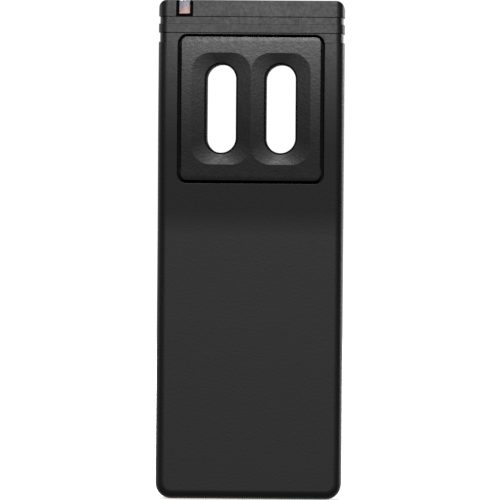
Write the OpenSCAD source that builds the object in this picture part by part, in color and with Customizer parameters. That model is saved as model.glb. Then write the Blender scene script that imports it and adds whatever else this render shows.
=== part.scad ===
// Wireless bodypack transmitter with two strap slots through its upper half.
// +Z runs up the pack, -Y is the worn (rear) side, and the origin is under the
// middle of the bottom end. All sizes are millimetres.

/* [Case] */
// Width of the case
case_w = 45; // [43:0.5:60]
// Height of the case
case_h = 121; // [120:0.5:160]
// Thickness of the case walls
wall = 1.5; // [1.2:0.1:2]
// Radius rolled along the long edges
edge_r = 2.2; // [1:0.1:3]
// Corner radius at the foot, seen from behind
foot_corner_r = 3.7; // [2:0.1:5]
// Corner radius at the head, seen from behind
head_corner_r = 2; // [1:0.1:3]
// Distance from mid-depth forward to the parting plane
parting_y = 1; // [0:0.1:2]

/* [Hump] */
// Distance of the hump's crest below the head
crest_drop = 24.6; // [20:0.1:28]
// Radius of the hump's crest
crest_r = 126; // [90:1:180]
// Radius of the hollow at the hump's foot
hollow_r = 70; // [50:1:100]
// Length of the straight slope between them
slope_l = 15.2; // [12:0.1:20]
// Lean of that slope
slope_a = 5.1; // [3:0.1:6]

/* [Head] */
// Height of the cap's skirt
cap_h = 4; // [3.5:0.1:6]
// Height of the upper ring groove
upper_groove_h = 1.8; // [1:0.1:2]
// Height of the ridge between the grooves
ridge_h = 2.1; // [1:0.1:2.4]
// Height of the lower ring groove
lower_groove_h = 2.3; // [1:0.1:2.6]
// Depth of both ring grooves
groove_d = 0.33; // [0.2:0.01:0.5]
// Width of the status window's bezel
bezel_w = 3.9; // [3:0.1:5]
// Distance of the bezel in from the side of the case
bezel_side = 4.3; // [3:0.1:6]
// Width of the frame around the status window
bezel_rim = 0.6; // [0.4:0.1:1]

/* [Strap plate] */
// Width of the plate
plate_w = 33.7; // [33:0.1:38]
// Height of the plate
plate_h = 34.8; // [34:0.1:36]
// Distance of the plate's top edge below the head
plate_drop = 8.9; // [8.5:0.1:10]
// Gap all round the plate
plate_gap = 0.9; // [0.4:0.05:1.2]
// Corner radius of the plate
plate_r = 1.3; // [0.8:0.1:3]
// Width of each strap slot
slot_w = 7.2; // [5:0.1:9]
// Length of each strap slot
slot_l = 21.4; // [16:0.1:22]
// Distance between the middles of the slots
slot_pitch = 14.44; // [13:0.01:16]
// Width of the dish around each slot
dish_w = 14.44; // [12:0.01:16]
// Height of the dish around each slot
dish_h = 27.1; // [26:0.1:30]
// Depth of the dishes
dish_d = 0.35; // [0.2:0.05:0.6]
// Wall of the liner that leads the strap through
liner_wall = 1.2; // [0.8:0.1:1.6]

/* [Battery bay] */
// Diameter of a cell
cell_d = 14.5; // [14:0.1:15]
// Length of a cell
cell_l = 50.5; // [44:0.1:51]
// Clearance around each cell
cell_gap = 0.2; // [0.15:0.05:0.5]
// Space for the contacts at each end of the cells
contact_l = 1.9; // [1.8:0.1:2.2]
// Thickness of the battery door
door_t = 1.5; // [1.2:0.1:2]
// Outer radius of the door's hinge barrel
barrel_r = 3; // [2.5:0.1:3.5]
// Radius of the hinge pin
pin_r = 0.9; // [0.7:0.05:1.2]
// Running clearance of the hinge, on the radius
pin_gap = 0.05; // [0.02:0.01:0.09]
// Gap between moving parts and the case
run_gap = 0.3; // [0.2:0.05:0.4]

/* [Controls] */
// Radius of the power button
power_r = 3.2; // [2.5:0.1:3.6]
// Travel of the power button
power_travel = 0.4; // [0.2:0.05:0.45]
// Travel of the mute switch
mute_travel = 2.6; // [2:0.1:3]
// Width of each front key
key_w = 4.6; // [4:0.1:5]
// Height of each front key
key_h = 5.4; // [4.6:0.1:5.6]
// Width of the display window
display_w = 22; // [18:0.5:24]
// Height of the display window
display_h = 7; // [5:0.1:7.4]
// Radius of the microphone socket's bore
jack_r = 1.8; // [1.75:0.01:1.85]
// Depth of the microphone socket's bore
jack_l = 13; // [11:0.1:13.4]
// Travel of the battery door's latch
latch_travel = 0.8; // [0.6:0.1:0.9]

/* [Hidden] */
$fn = 48;
eps = 0.01;
fit = 0.05;
seat = 0.1;

hump_rise = (hollow_r + crest_r) * (1 - cos(slope_a)) + slope_l * sin(slope_a);
pack_d = cell_d + 2 * cell_gap + wall + door_t;
full_d = pack_d + hump_rise;
front_y = full_d / 2;
crest_y = -full_d / 2;
flat_y = crest_y + hump_rise;
crest_z = case_h - crest_drop;
bend_z = crest_z - crest_r * sin(slope_a);
slope_z = bend_z - slope_l * cos(slope_a);
slope_y = flat_y - hollow_r * (1 - cos(slope_a));
hollow_z = slope_z - hollow_r * sin(slope_a);
roll_steps = 8;

seam_z = case_h - cap_h;
ridge_top = seam_z - upper_groove_h;
ridge_z = ridge_top - ridge_h;
groove_z = ridge_z - lower_groove_h;

plate_top = case_h - plate_drop;
plate_z = plate_top - plate_h;
slot_z = plate_z + plate_h / 2;
plate_seat = crest_y + 3.2;
pocket_t = 1.2;
pocket_wall = 1.2;
pocket_w = plate_w + 2 * plate_gap;
pocket_h = plate_h + 1.5 * plate_gap;
pocket_z = plate_z - 0.8 * plate_gap;
liner_w = slot_w + 2 * liner_wall;
liner_l = slot_l + 2 * liner_wall;
well_w = slot_pitch + liner_w + 3;
well_h = liner_l + 2.6;
screw_x = plate_w / 2 - 1.3;
screw_zs = [plate_z + 2.1, plate_top - 2.1];
screw_r = 0.95;
boss_r = 2;

pin_y = front_y - barrel_r;
pin_z = barrel_r + 0.1;
tray_z = pin_z + barrel_r + 0.4;
tray_t = 1;
cell_z = tray_z + tray_t + contact_l;
cell_top = cell_z + cell_l;
tray_top = cell_top + contact_l + tray_t;
rib_t = 1.2;
cell_x = cell_d / 2 + cell_gap + rib_t / 2;
cell_y = flat_y + wall + cell_gap + cell_d / 2;
tray_x = cell_x + cell_d / 2 + cell_gap;
door_w = 2 * (tray_x + tray_t) + 1.6;
door_y = front_y - door_t;
latch_l = 6.2;
door_top = tray_top + latch_l;
latch_y0 = door_y - 2.6;
tongue_w = 6;
pad_w = 10;
pad_h = 2.4;
pad_z = door_top - pad_h - 0.9;
pin_l = door_w + 4;

board_y = front_y - 6.4;
board_t = 1.2;
board_z = tray_top + 1;
board_top = screw_zs[1] - boss_r - 1;
board_w = case_w - 2 * wall - 1.4;
window_w = slot_pitch + liner_w + 1.4;
window_z = slot_z - liner_l / 2 - 0.8;
display_y = front_y - 1.4;
key_x = 16.6;
key_z = screw_zs[0] - boss_r - key_h / 2 - 0.9;
display_z = key_z - display_h / 2;
key_travel = 0.4;
face_t = 1.5;

head_in = case_h - face_t;
shelf_z = case_h - 8.8;
shelf_t = 1;
mid_y = 1.2;
power_x = -0.6;
mute_x = -11;
jack_x = 9.2;
jack_out = 3;

// ---- shared shapes ----

// A bar's cross-section with its two rear corners rolled over
module rolled_2d(w, d, r) {
    translate([-w / 2, r])
        square([w, d - r]);
    translate([-w / 2 + r, 0])
        square([w - 2 * r, r + eps]);
    for (side = [-1, 1])
        translate([side * (w / 2 - r), r])
            circle(r);
}

// A rectangle with four equal round corners
module round_rect(w, h, r) {
    square([w - 2 * r, h], center = true);
    square([w, h - 2 * r], center = true);
    for (x = [-1, 1], z = [-1, 1])
        translate([x * (w / 2 - r), z * (h / 2 - r)])
            circle(r);
}

// A slot with full round ends, standing up
module oval_2d(w, l) {
    square([w, l - w], center = true);
    for (z = [-1, 1])
        translate([0, z * (l / 2 - w / 2)])
            circle(w / 2);
}

// Draws a rear-view outline as a prism between two depths
module prism(y0, y1) {
    translate([0, y1, 0])
        rotate([90, 0, 0])
            linear_extrude(y1 - y0)
                children();
}

// Draws a side-view outline as a prism between two widths
module side_prism(x0, x1) {
    translate([x0, 0, 0])
        rotate([90, 0, 90])
            linear_extrude(x1 - x0)
                children();
}

module block(x0, x1, y0, y1, z0, z1) {
    translate([x0, y0, z0])
        cube([x1 - x0, y1 - y0, z1 - z0]);
}

// A tube wound as a helix along +Z: mean radius, wire radius, length, turns
module helix(mean_r, wire_r, l, turns) {
    sides = 8;
    steps = 16 * turns;
    ring = function (i) [for (j = [0:sides - 1])
        let (a = 360 * turns * i / steps, b = 360 * j / sides)
        [(mean_r + wire_r * cos(b)) * cos(a),
         (mean_r + wire_r * cos(b)) * sin(a),
         l * i / steps + wire_r * sin(b)]];
    points = [for (i = [0:steps]) each ring(i)];
    walls = [for (i = [0:steps - 1], j = [0:sides - 1])
        let (k = (j + 1) % sides)
        [i * sides + j, (i + 1) * sides + j, (i + 1) * sides + k, i * sides + k]];
    ends = [[for (j = [0:sides - 1]) j],
            [for (j = [sides - 1:-1:0]) steps * sides + j]];
    polyhedron(points, concat(walls, ends));
}

// ---- the case's outer form, drawn inward by an inset ----

// Depth of the rear surface: a flat, a hollow bend, a straight slope and a wide crest
function rear_y(z) =
    z <= hollow_z ? flat_y :
    z <= slope_z ? flat_y - hollow_r + sqrt(pow(hollow_r, 2) - pow(z - hollow_z, 2)) :
    z <= bend_z ? slope_y - (z - slope_z) * tan(slope_a) :
    crest_y + crest_r - sqrt(pow(crest_r, 2) - pow(z - crest_z, 2));

// The heights where the rear surface changes direction
stations = concat(
    [for (i = [0:4]) hollow_z + i * (slope_z - hollow_z) / 4],
    [for (i = [0:18]) bend_z + i * (case_h + 2 - bend_z) / 18]
);

function heights(z0, z1) = concat([z0], [for (z = stations) if (z > z0 + 0.1 && z < z1 - 0.1) z], [z1]);

// One quarter of a rolled edge: centre, radius, start angle
function roll(x, y, r, from) = [for (j = [0:roll_steps])
    let (a = from + 90 * j / roll_steps)
    [x + r * cos(a), y + r * sin(a)]];

// A level cut through the case, going round from the front left corner
function level(part, inset, z) =
    let (
        w = case_w / 2 - inset,
        r = max(edge_r - inset, 0.3),
        back = rear_y(z) + inset,
        front = front_y - inset
    )
    [for (p = concat(
        part == "rear" ? [[-w, parting_y]] : roll(-w + r, front - r, r, 90),
        part == "front" ? [[-w, parting_y], [w, parting_y]] :
            concat(roll(-w + r, back + r, r, 180), roll(w - r, back + r, r, 270)),
        part == "rear" ? [[w, parting_y]] : roll(w - r, front - r, r, 0)
    )) [p[0], p[1], z]];

// A length of the case between two heights, square at its ends
module length_of_case(part, inset, z0, z1) {
    zs = heights(z0, z1);
    n = len(level(part, inset, z0));
    points = [for (z = zs) each level(part, inset, z)];
    sides = [for (i = [0:len(zs) - 2], j = [0:n - 1])
        let (k = (j + 1) % n)
        [i * n + j, (i + 1) * n + j, (i + 1) * n + k, i * n + k]];
    ends = [[for (j = [0:n - 1]) j],
            [for (j = [n - 1:-1:0]) (len(zs) - 1) * n + j]];
    polyhedron(points, concat(sides, ends));
}

// The outline seen from behind, with round corners at the foot and the head
module outline_2d(inset, top) {
    w = case_w - 2 * inset;
    foot = max(foot_corner_r - inset, 0.3);
    head = max(head_corner_r - inset, 0.3);
    difference() {
        translate([-w / 2, inset])
            square([w, top - inset]);
        for (side = [-1, 1]) {
            translate([side * (w / 2 - foot), inset + foot])
                corner_cut(side, -1, foot);
            if (top <= case_h)
                translate([side * (w / 2 - head), top - head])
                    corner_cut(side, 1, head);
        }
    }
}

// What rounding a corner takes away, about the centre of its arc
module corner_cut(x, z, r) {
    difference() {
        translate([x > 0 ? 0 : -2 * r, z > 0 ? 0 : -2 * r])
            square(2 * r);
        circle(r);
    }
}

// The foot seen from the side, rounded along both bottom edges
module foot_2d() {
    difference() {
        translate([flat_y, 0])
            square([pack_d, hollow_z]);
        translate([flat_y + edge_r, edge_r])
            corner_cut(-1, -1, edge_r);
        translate([front_y - barrel_r, barrel_r])
            corner_cut(1, -1, barrel_r);
    }
    translate([crest_y, hollow_z / 2])
        square([full_d, case_h]);
}

// The outside of one shell, with its ring grooves: "rear" or "front"
module shell_form(part) {
    intersection() {
        length_of_case(part, 0, -1, groove_z);
        prism(crest_y, front_y) outline_2d(0, case_h);
        side_prism(-case_w / 2, case_w / 2) foot_2d();
    }
    length_of_case(part, groove_d, groove_z, ridge_z);
    length_of_case(part, 0, ridge_z, ridge_top);
    length_of_case(part, groove_d, ridge_top, seam_z);
}

// The space inside the walls, seen from the side
module cavity_2d(inset) {
    z0 = wall;
    polygon(concat(
        [for (z = heights(z0, case_h + 1)) [rear_y(z) + inset, z]],
        [[front_y - inset, case_h + 1], [front_y - inset, z0]]
    ));
}

module cavity(inset) {
    intersection() {
        side_prism(-case_w / 2 + inset, case_w / 2 - inset) cavity_2d(inset);
        prism(crest_y, front_y) outline_2d(inset, case_h + 2);
    }
}

// The rubber seal's path in the parting plane
module seal_2d(grow) {
    intersection() {
        difference() {
            outline_2d(wall / 3 - grow, case_h + 2);
            outline_2d(wall * 2 / 3 + grow, case_h + 2);
        }
        translate([-case_w, -1])
            square([2 * case_w, groove_z]);
    }
}

module each_screw() {
    for (side = [-1, 1], z = screw_zs)
        translate([side * screw_x, 0, z])
            rotate([-90, 0, 0])
                children();
}

module each_slot() {
    for (side = [-1, 1])
        translate([side * slot_pitch / 2, slot_z])
            children();
}

module pocket_2d(grow) {
    translate([0, pocket_z + pocket_h / 2])
        round_rect(pocket_w + 2 * grow, pocket_h + 2 * grow, plate_r + plate_gap + grow);
}

// ---- case ----

module rear_shell() {
    color("#2b2b2c")
        difference() {
            union() {
                difference() {
                    shell_form("rear");
                    cavity(wall);
                }
                intersection() {
                    shell_form("rear");
                    prism(-full_d, plate_seat + pocket_t)
                        pocket_2d(pocket_wall);
                }
            }
            prism(-full_d, plate_seat) pocket_2d(0);
            prism(-full_d, 0)
                translate([0, slot_z])
                    round_rect(well_w + 2 * seat, well_h + 2 * seat, 2);
            each_screw()
                translate([0, 0, plate_seat - 1])
                    cylinder(r = screw_r + 0.15, h = 3);
            prism(parting_y - 0.5 - fit, parting_y + 1) seal_2d(fit);
            bezel_cut(seat);
        }
}

module front_shell() {
    lip_x = door_w / 2 + run_gap;
    color("#2b2b2c")
        difference() {
            union() {
                difference() {
                    shell_form("front");
                    cavity(wall);
                }
                // Cheeks that carry the hinge pin
                intersection() {
                    shell_form("front");
                    for (side = [-1, 1])
                        side_prism(side > 0 ? lip_x : -case_w / 2, side > 0 ? case_w / 2 : -lip_x)
                            translate([pin_y - barrel_r, 0])
                                square([2 * barrel_r, pin_z + barrel_r]);
                }
                each_screw()
                    translate([0, 0, plate_seat + pocket_t + fit])
                        cylinder(r = boss_r, h = front_y - plate_seat - pocket_t - wall);
            }
            block(-lip_x, lip_x, pin_y - barrel_r - run_gap, front_y + 1, -1, door_top + run_gap);
            side_prism(-pin_l / 2 - fit, pin_l / 2 + fit)
                translate([pin_y, pin_z])
                    circle(pin_r + 0.02);
            each_screw()
                translate([0, 0, plate_seat])
                    cylinder(r = screw_r + 0.02, h = 11.5);
            prism(0, front_y + 1)
                each_slot() oval_2d(liner_w + 2 * fit, liner_l + 2 * fit);
            prism(display_y - 3, front_y + 1)
                translate([0, display_z + display_h / 2])
                    round_rect(display_w + 2 * seat, display_h + 2 * seat, 1 + seat);
            for (side = [-1, 1])
                prism(0, front_y + 1)
                    translate([side * key_x, key_z])
                        round_rect(key_w + 2 * run_gap, key_h + 2 * run_gap, 1.8 + run_gap);
        }
}

module shell_seal() {
    color("#151515")
        prism(parting_y - 0.5, parting_y) seal_2d(0);
}

module case_screws() {
    color("#8d8d8a")
        each_screw()
            difference() {
                union() {
                    translate([0, 0, plate_seat - 1])
                        cylinder(r = 1.7, h = 1);
                    translate([0, 0, plate_seat - eps])
                        cylinder(r = screw_r, h = 10);
                }
                translate([0, 0, plate_seat - 1.1])
                    cylinder(r = 0.8, h = 0.8, $fn = 6);
            }
}

module top_cap() {
    skirt_in = wall + seat;
    skirt_t = 1.1;
    color("#2b2b2c")
        difference() {
            union() {
                head_form(0, seam_z, case_h);
                // Spigot that enters the joined shells
                intersection() {
                    cavity(skirt_in);
                    block(-case_w, case_w, plate_seat + pocket_t + 0.4, full_d, seam_z - 3, seam_z + eps);
                }
            }
            intersection() {
                cavity(skirt_in + skirt_t);
                block(-case_w, case_w, -full_d, full_d, seam_z - 4, head_in);
            }
            translate([power_x, mid_y, head_in - 1])
                cylinder(r = power_r + run_gap, h = 4);
            translate([jack_x, mid_y, head_in - 1])
                cylinder(r = jack_out + fit, h = 4);
            translate([jack_x, mid_y, case_h - 0.9])
                cylinder(r = 4.7, h = 2);
            mute_way(run_gap);
            bezel_cut(seat);
        }
}

// The outside of the head between two heights
module head_form(inset, z0, z1) {
    intersection() {
        length_of_case("whole", inset, z0, z1);
        prism(-full_d, full_d) outline_2d(inset, case_h);
    }
}

// The slot in the head that the mute knob runs along
module mute_way(grow) {
    block(
        mute_x - 1.5 - grow, mute_x + 1.5 + mute_travel + grow,
        mid_y - 1.3 - grow, mid_y + 1.3 + grow,
        head_in - 1, case_h + 1
    );
}

// The corner of the head that the bezel fills
module bezel_cut(grow) {
    x = -case_w / 2 + bezel_side;
    block(x - grow, x + bezel_w + grow, -full_d, flat_y + 4 + grow, seam_z - grow, case_h + 1);
}

module window_bezel() {
    x = -case_w / 2 + bezel_side;
    rim = bezel_rim;
    color("#0c0c0d")
        difference() {
            intersection() {
                head_form(0.02, seam_z, case_h - 0.02);
                bezel_cut(0);
            }
            block(x + rim, x + bezel_w - rim, -full_d, flat_y + 4 - rim, seam_z + rim, case_h + 1);
        }
}

module status_window() {
    x = -case_w / 2 + bezel_side + bezel_rim + fit;
    w = bezel_w - 2 * bezel_rim - 2 * fit;
    color("#b9a9ae")
        intersection() {
            head_form(0.12, seam_z, case_h - 0.12);
            block(
                x, x + w,
                -full_d, flat_y + 4 - bezel_rim - fit,
                seam_z + bezel_rim + fit, case_h
            );
        }
}

// ---- strap slots ----

module strap_plate() {
    color("#2a2a2b")
        difference() {
            intersection() {
                side_prism(-case_w / 2, case_w / 2) cavity_2d(0);
                prism(-full_d, plate_seat - fit)
                    translate([0, plate_z + plate_h / 2])
                        round_rect(plate_w, plate_h, plate_r);
            }
            difference() {
                prism(-full_d, 0)
                    each_slot() round_rect(dish_w + eps, dish_h, 3);
                side_prism(-case_w, case_w) cavity_2d(dish_d);
            }
            prism(-full_d, 0)
                each_slot() oval_2d(slot_w, slot_l);
            each_screw()
                translate([0, 0, plate_seat - 1.3])
                    cylinder(r = 2, h = 3);
        }
}

module slot_liner() {
    flange_y = plate_seat;
    color("#1f1f20")
        difference() {
            union() {
                prism(flange_y, flange_y + pocket_t)
                    translate([0, slot_z])
                        round_rect(well_w, well_h, 2 - seat);
                prism(flange_y, front_y - 0.05)
                    each_slot() oval_2d(liner_w, liner_l);
            }
            prism(-full_d, full_d)
                each_slot() oval_2d(slot_w + 0.2, slot_l + 0.2);
        }
}

// ---- battery bay ----

module battery_tray() {
    back = flat_y + wall + fit;
    lip = door_y - run_gap;
    color("#242425")
        difference() {
            union() {
                for (side = [-1, 1])
                    block(
                        side > 0 ? tray_x : -tray_x - tray_t,
                        side > 0 ? tray_x + tray_t : -tray_x,
                        back, lip, tray_z, tray_top
                    );
                block(-tray_x - eps, tray_x + eps, back, lip, tray_top - tray_t, tray_top);
                block(-tray_x - eps, tray_x + eps, back, lip, tray_z, tray_z + tray_t);
                block(-rib_t / 2, rib_t / 2, back, back + 5, tray_z, tray_top);
            }
            // Room for the door's hinge barrel
            side_prism(-case_w, case_w)
                translate([pin_y, pin_z])
                    circle(barrel_r + run_gap);
        }
}

// A cell stands on its negative end: [across, upside down]
module cell(x, flip) {
    translate([x, cell_y, cell_z + cell_l / 2])
        mirror([0, 0, flip ? 1 : 0])
            translate([0, 0, -cell_l / 2])
                rotate_extrude()
                    polygon([
                        [0, 0.4], [4, 0.4], [4.4, 0], [cell_d / 2 - 0.5, 0], [cell_d / 2, 0.5],
                        [cell_d / 2, cell_l - 1.8], [cell_d / 2 - 0.5, cell_l - 1.2],
                        [2.75, cell_l - 1.2], [2.75, cell_l], [0, cell_l],
                    ]);
}

module battery_cell_left() {
    color("#b08d57") cell(-cell_x, false);
}

module battery_cell_right() {
    color("#b08d57") cell(cell_x, true);
}

// A coil presses on the negative end of each cell
module contact_springs() {
    wire = 0.2;
    l = contact_l - 0.45 - 2 * wire;
    color("#c9c4b4") {
        translate([-cell_x, cell_y, tray_z + tray_t + 0.35 + wire + fit])
            helix(2.6, wire, l, 2);
        translate([cell_x, cell_y, cell_top + wire + fit])
            helix(2.6, wire, l, 2);
    }
}

module contact_plates() {
    low = tray_z + tray_t + fit;
    high = cell_top + contact_l - fit;
    w = 9;
    y0 = cell_y - 3.5;
    y1 = cell_y + 3.5;
    color("#c9c4b4") {
        // One link joins the cells at the foot
        block(-cell_x - w / 2, -rib_t / 2 - fit, y0, y1, low, low + 0.3);
        block(rib_t / 2 + fit, cell_x + w / 2, y0, y1, low, low + 0.3);
        block(-rib_t / 2 - 1, rib_t / 2 + 1, flat_y + wall + 5.2, y1, low, low + 0.3);
        for (side = [-1, 1])
            translate([side * cell_x, 0, 0])
                block(-w / 2, w / 2, y0, y1, high - 0.3, high);
    }
}

module battery_door() {
    half = door_w / 2;
    color("#2b2b2c")
        difference() {
            union() {
                intersection() {
                    prism(door_y, front_y)
                        translate([0, pin_z + (door_top - pin_z) / 2])
                            square([door_w, door_top - pin_z], center = true);
                    translate([0, 0, -1])
                        linear_extrude(case_h)
                            translate([0, front_y])
                                mirror([0, 1])
                                    rolled_2d(door_w, 4, 0.4);
                }
                side_prism(-half, half)
                    translate([pin_y, pin_z])
                        circle(barrel_r);
                // Housing of the latch
                block(-7, 7, latch_y0 - 0.8, door_y + eps, tray_top + 0.4, door_top);
            }
            side_prism(-half - 1, half + 1)
                translate([pin_y, pin_z])
                    circle(pin_r + pin_gap);
            // Window for the thumb pad, and the way for its tongue
            block(
                -pad_w / 2 - 0.25, pad_w / 2 + 0.25, door_y - eps, front_y + 1,
                pad_z - latch_travel - 0.25, pad_z + pad_h + 0.25
            );
            block(
                -tongue_w / 2 - 0.25, tongue_w / 2 + 0.25,
                latch_y0 - 0.15, door_y + eps,
                tray_top + 1.2, door_top + 1
            );
        }
}

module door_hinge_pin() {
    color("#a9a9a6")
        side_prism(-pin_l / 2, pin_l / 2)
            translate([pin_y, pin_z])
                circle(pin_r);
}

module door_pad() {
    color("#3a3a3c")
        for (side = [-1, 1])
            translate([side * cell_x, 0, 0])
                block(-1.5, 1.5, door_y - 0.15, door_y, cell_z + 8, cell_top - 8);
}

module door_latch() {
    rib_pitch = 0.65;
    color("#2b2b2c") {
        difference() {
            block(-pad_w / 2, pad_w / 2, door_y + 0.1, front_y - 0.1, pad_z, pad_z + pad_h);
            for (i = [0:2])
                block(
                    -pad_w / 2 + 0.8, pad_w / 2 - 0.8, front_y - 0.4, front_y + 1,
                    pad_z + 0.35 + i * rib_pitch, pad_z + 0.7 + i * rib_pitch
                );
        }
        block(-tongue_w / 2, tongue_w / 2, latch_y0, door_y - 0.15, pad_z, door_top - 0.1);
        block(-tongue_w / 2, tongue_w / 2, door_y - 0.2, door_y + 0.15, pad_z, pad_z + pad_h);
    }
}

module latch_spring() {
    wire = 0.1;
    low = tray_top + 1.2 + wire + fit;
    color("#b8b8b4")
        translate([0, latch_y0 + 1.3, low])
            helix(0.85, wire, pad_z - low - wire - fit, 3);
}

// ---- main board ----

module main_board() {
    color("#1f5a3a")
        difference() {
            prism(board_y, board_y + board_t)
                translate([-board_w / 2, board_z])
                    square([board_w, board_top - board_z]);
            prism(board_y - 1, board_y + board_t + 1)
                translate([-window_w / 2, window_z])
                    square([window_w, case_h]);
            each_screw()
                translate([0, 0, board_y - 1])
                    cylinder(r = boss_r + 0.3, h = board_t + 2);
        }
}

module board_chips() {
    back = board_y - fit;
    color("#191919") {
        block(5, 11, back - 1, back, board_z + 2, board_z + 8);
        block(5.5, 10.5, back - 1.2, back, board_z + 10, board_z + 15);
        block(14, 18, back - 1, back, board_z + 2, board_z + 6);
        block(-19, -15, back - 1.4, back, board_z + 1, board_z + 9);
        for (i = [0:3])
            block(-19, -17.4, back - 0.8, back, window_z + 6 + 3 * i, window_z + 6.9 + 3 * i);
    }
}

module rf_shield() {
    x0 = -12.8;
    x1 = 3.4;
    z0 = board_z + 1;
    z1 = window_z - 1.2;
    back = board_y - fit;
    t = 0.3;
    color("#c3c6c8")
        difference() {
            block(x0, x1, back - 3, back, z0, z1);
            block(x0 + t, x1 - t, back - 3 + t, back + 1, z0 + t, z1 - t);
        }
}

module antenna() {
    x = board_w / 2 - 0.5;
    back = board_y - fit;
    color("#c98b4e") {
        block(x - 0.4, x, back - 7, back - 2, window_z + 2, board_top + 0.6);
        block(x - 0.4, x, back - 2 - eps, back, window_z + 2, window_z + 5);
    }
}

module key_switches() {
    front = board_y + board_t + fit;
    color("#9a9a98")
        for (side = [-1, 1])
            translate([side * key_x, 0, key_z]) {
                block(-1.9, 1.9, front, front + 1.1, -1.9, 1.9);
                prism(front + 1.1 - eps, front + 1.5) circle(0.9);
            }
}

module display_module() {
    w = min(display_w + 2.4, 2 * (screw_x - boss_r) - 1.2);
    front = board_y + board_t + fit;
    glass = min(display_y - 0.3, front_y - wall - 0.2);
    color("#3d4a3f")
        block(-w / 2, w / 2, front, glass, display_z - 0.6, display_z + display_h + 0.2);
}

module display_window() {
    color("#0e1114")
        prism(display_y - 0.1, front_y - 0.1)
            translate([0, display_z + display_h / 2])
                round_rect(display_w, display_h, 1);
}

// A key's cap with a collar that keeps it in and a stem to its switch
module key(side) {
    stem = board_y + board_t + fit + 1.5 + 0.05;
    collar_y = front_y - wall - 0.9;
    color("#343436")
        translate([side * key_x, 0, key_z]) {
            prism(collar_y, front_y - 0.05) round_rect(key_w, key_h, 1.8);
            prism(collar_y, collar_y + 0.6) round_rect(key_w + 1.2, key_h + 1.2, 1.8);
            prism(stem + key_travel, collar_y + eps) circle(1.2);
            prism(stem + key_travel, stem + key_travel + 0.3) circle(1);
        }
}

module minus_key() {
    key(-1);
}

module plus_key() {
    key(1);
}

// ---- head ----

module head_board() {
    x0 = -case_w / 2 + wall + 2.2;
    color("#1f5a3a")
        block(x0, jack_x - 5, plate_seat + pocket_t + 0.5, front_y - wall - 1.9, shelf_z, shelf_z + shelf_t);
}

module status_led() {
    x = -case_w / 2 + bezel_side + bezel_w / 2;
    z = shelf_z + shelf_t + fit;
    color("#e8e4da") {
        block(x - 0.8, x + 0.8, plate_seat + pocket_t + 0.7, plate_seat + pocket_t + 2.3, z, z + 0.9);
    }
}

module power_switch() {
    z = shelf_z + shelf_t + fit;
    color("#9a9a98")
        translate([power_x, mid_y, 0]) {
            block(-2.2, 2.2, -2.2, 2.2, z, z + 1.3);
            translate([0, 0, z + 1.3 - eps])
                cylinder(r = 1.2, h = 0.5);
        }
}

module power_button() {
    low = shelf_z + shelf_t + fit + 1.8 + power_travel + 0.05;
    color("#3a3a3d")
        translate([power_x, mid_y, 0])
            rotate_extrude()
                polygon([
                    [0, low], [1.3, low], [1.3, head_in - 1.4], [power_r + 0.9, head_in - 1.4],
                    [power_r + 0.9, head_in - 0.6], [power_r, head_in - 0.6],
                    [power_r, case_h - 0.4], [power_r - 0.3, case_h - 0.1],
                    [power_r - 0.8, case_h - 0.1], [power_r - 1.2, case_h - 0.3],
                    [0, case_h - 0.45],
                ]);
}

module mute_switch_body() {
    z = shelf_z + shelf_t + fit;
    color("#5d5d5f")
        difference() {
            block(mute_x - 2.6, mute_x + 2.6 + mute_travel, mid_y - 2.2, mid_y + 2.2, z, z + 2.8);
            block(
                mute_x - 1 - run_gap, mute_x + 1 + mute_travel + run_gap,
                mid_y - 0.7 - run_gap, mid_y + 0.7 + run_gap,
                z + 0.8, z + 4
            );
        }
}

module mute_knob() {
    z = shelf_z + shelf_t + fit;
    color("#8c2f2a") {
        block(mute_x - 1, mute_x + 1, mid_y - 0.7, mid_y + 0.7, z + 1.1, head_in - 1);
        difference() {
            block(mute_x - 1.5, mute_x + 1.5, mid_y - 1.3, mid_y + 1.3, head_in - 1.2, case_h - 0.1);
            for (i = [-1:1])
                block(
                    mute_x + 0.9 * i - 0.2, mute_x + 0.9 * i + 0.2,
                    mid_y - 2, mid_y + 2, case_h - 0.5, case_h + 1
                );
        }
    }
}

module jack_barrel() {
    low = case_h - 0.1 - jack_l;
    color("#b7b7b4")
        translate([jack_x, mid_y, 0])
            difference() {
                union() {
                    translate([0, 0, low - 0.6])
                        cylinder(r = 2.5, h = jack_l);
                    translate([0, 0, head_in - 2])
                        cylinder(r = jack_out, h = face_t + 1.9);
                    translate([0, 0, head_in - 2])
                        cylinder(r = 3.9, h = 2 - fit);
                }
                translate([0, 0, low])
                    cylinder(r = jack_r, h = jack_l + 1);
            }
}

module jack_housing() {
    low = case_h - 0.1 - jack_l - 0.9;
    color("#141414")
        difference() {
            block(
                jack_x - 4, jack_x + 4,
                mid_y - 3.4, board_y + board_t - 0.2,
                low, head_in - 2 - fit
            );
            translate([jack_x, mid_y, low + 0.25])
                cylinder(r = 2.5 + fit, h = 20);
        }
}

module jack_nut() {
    color("#9c9c99")
        translate([jack_x, mid_y, case_h - 0.85])
            difference() {
                cylinder(r = 4.3, h = 0.75);
                translate([0, 0, -1])
                    cylinder(r = jack_out + 0.03, h = 3);
                for (i = [0:3])
                    rotate(90 * i)
                        translate([4.3, 0, 0])
                            cylinder(r = 0.5, h = 2, center = true);
            }
}

rear_shell();
front_shell();
shell_seal();
case_screws();
top_cap();
window_bezel();
status_window();
strap_plate();
slot_liner();
battery_tray();
battery_cell_left();
battery_cell_right();
contact_springs();
contact_plates();
battery_door();
door_hinge_pin();
door_pad();
door_latch();
latch_spring();
main_board();
board_chips();
rf_shield();
antenna();
key_switches();
display_module();
display_window();
minus_key();
plus_key();
head_board();
status_led();
power_switch();
power_button();
mute_switch_body();
mute_knob();
jack_barrel();
jack_housing();
jack_nut();
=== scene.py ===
import math

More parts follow.
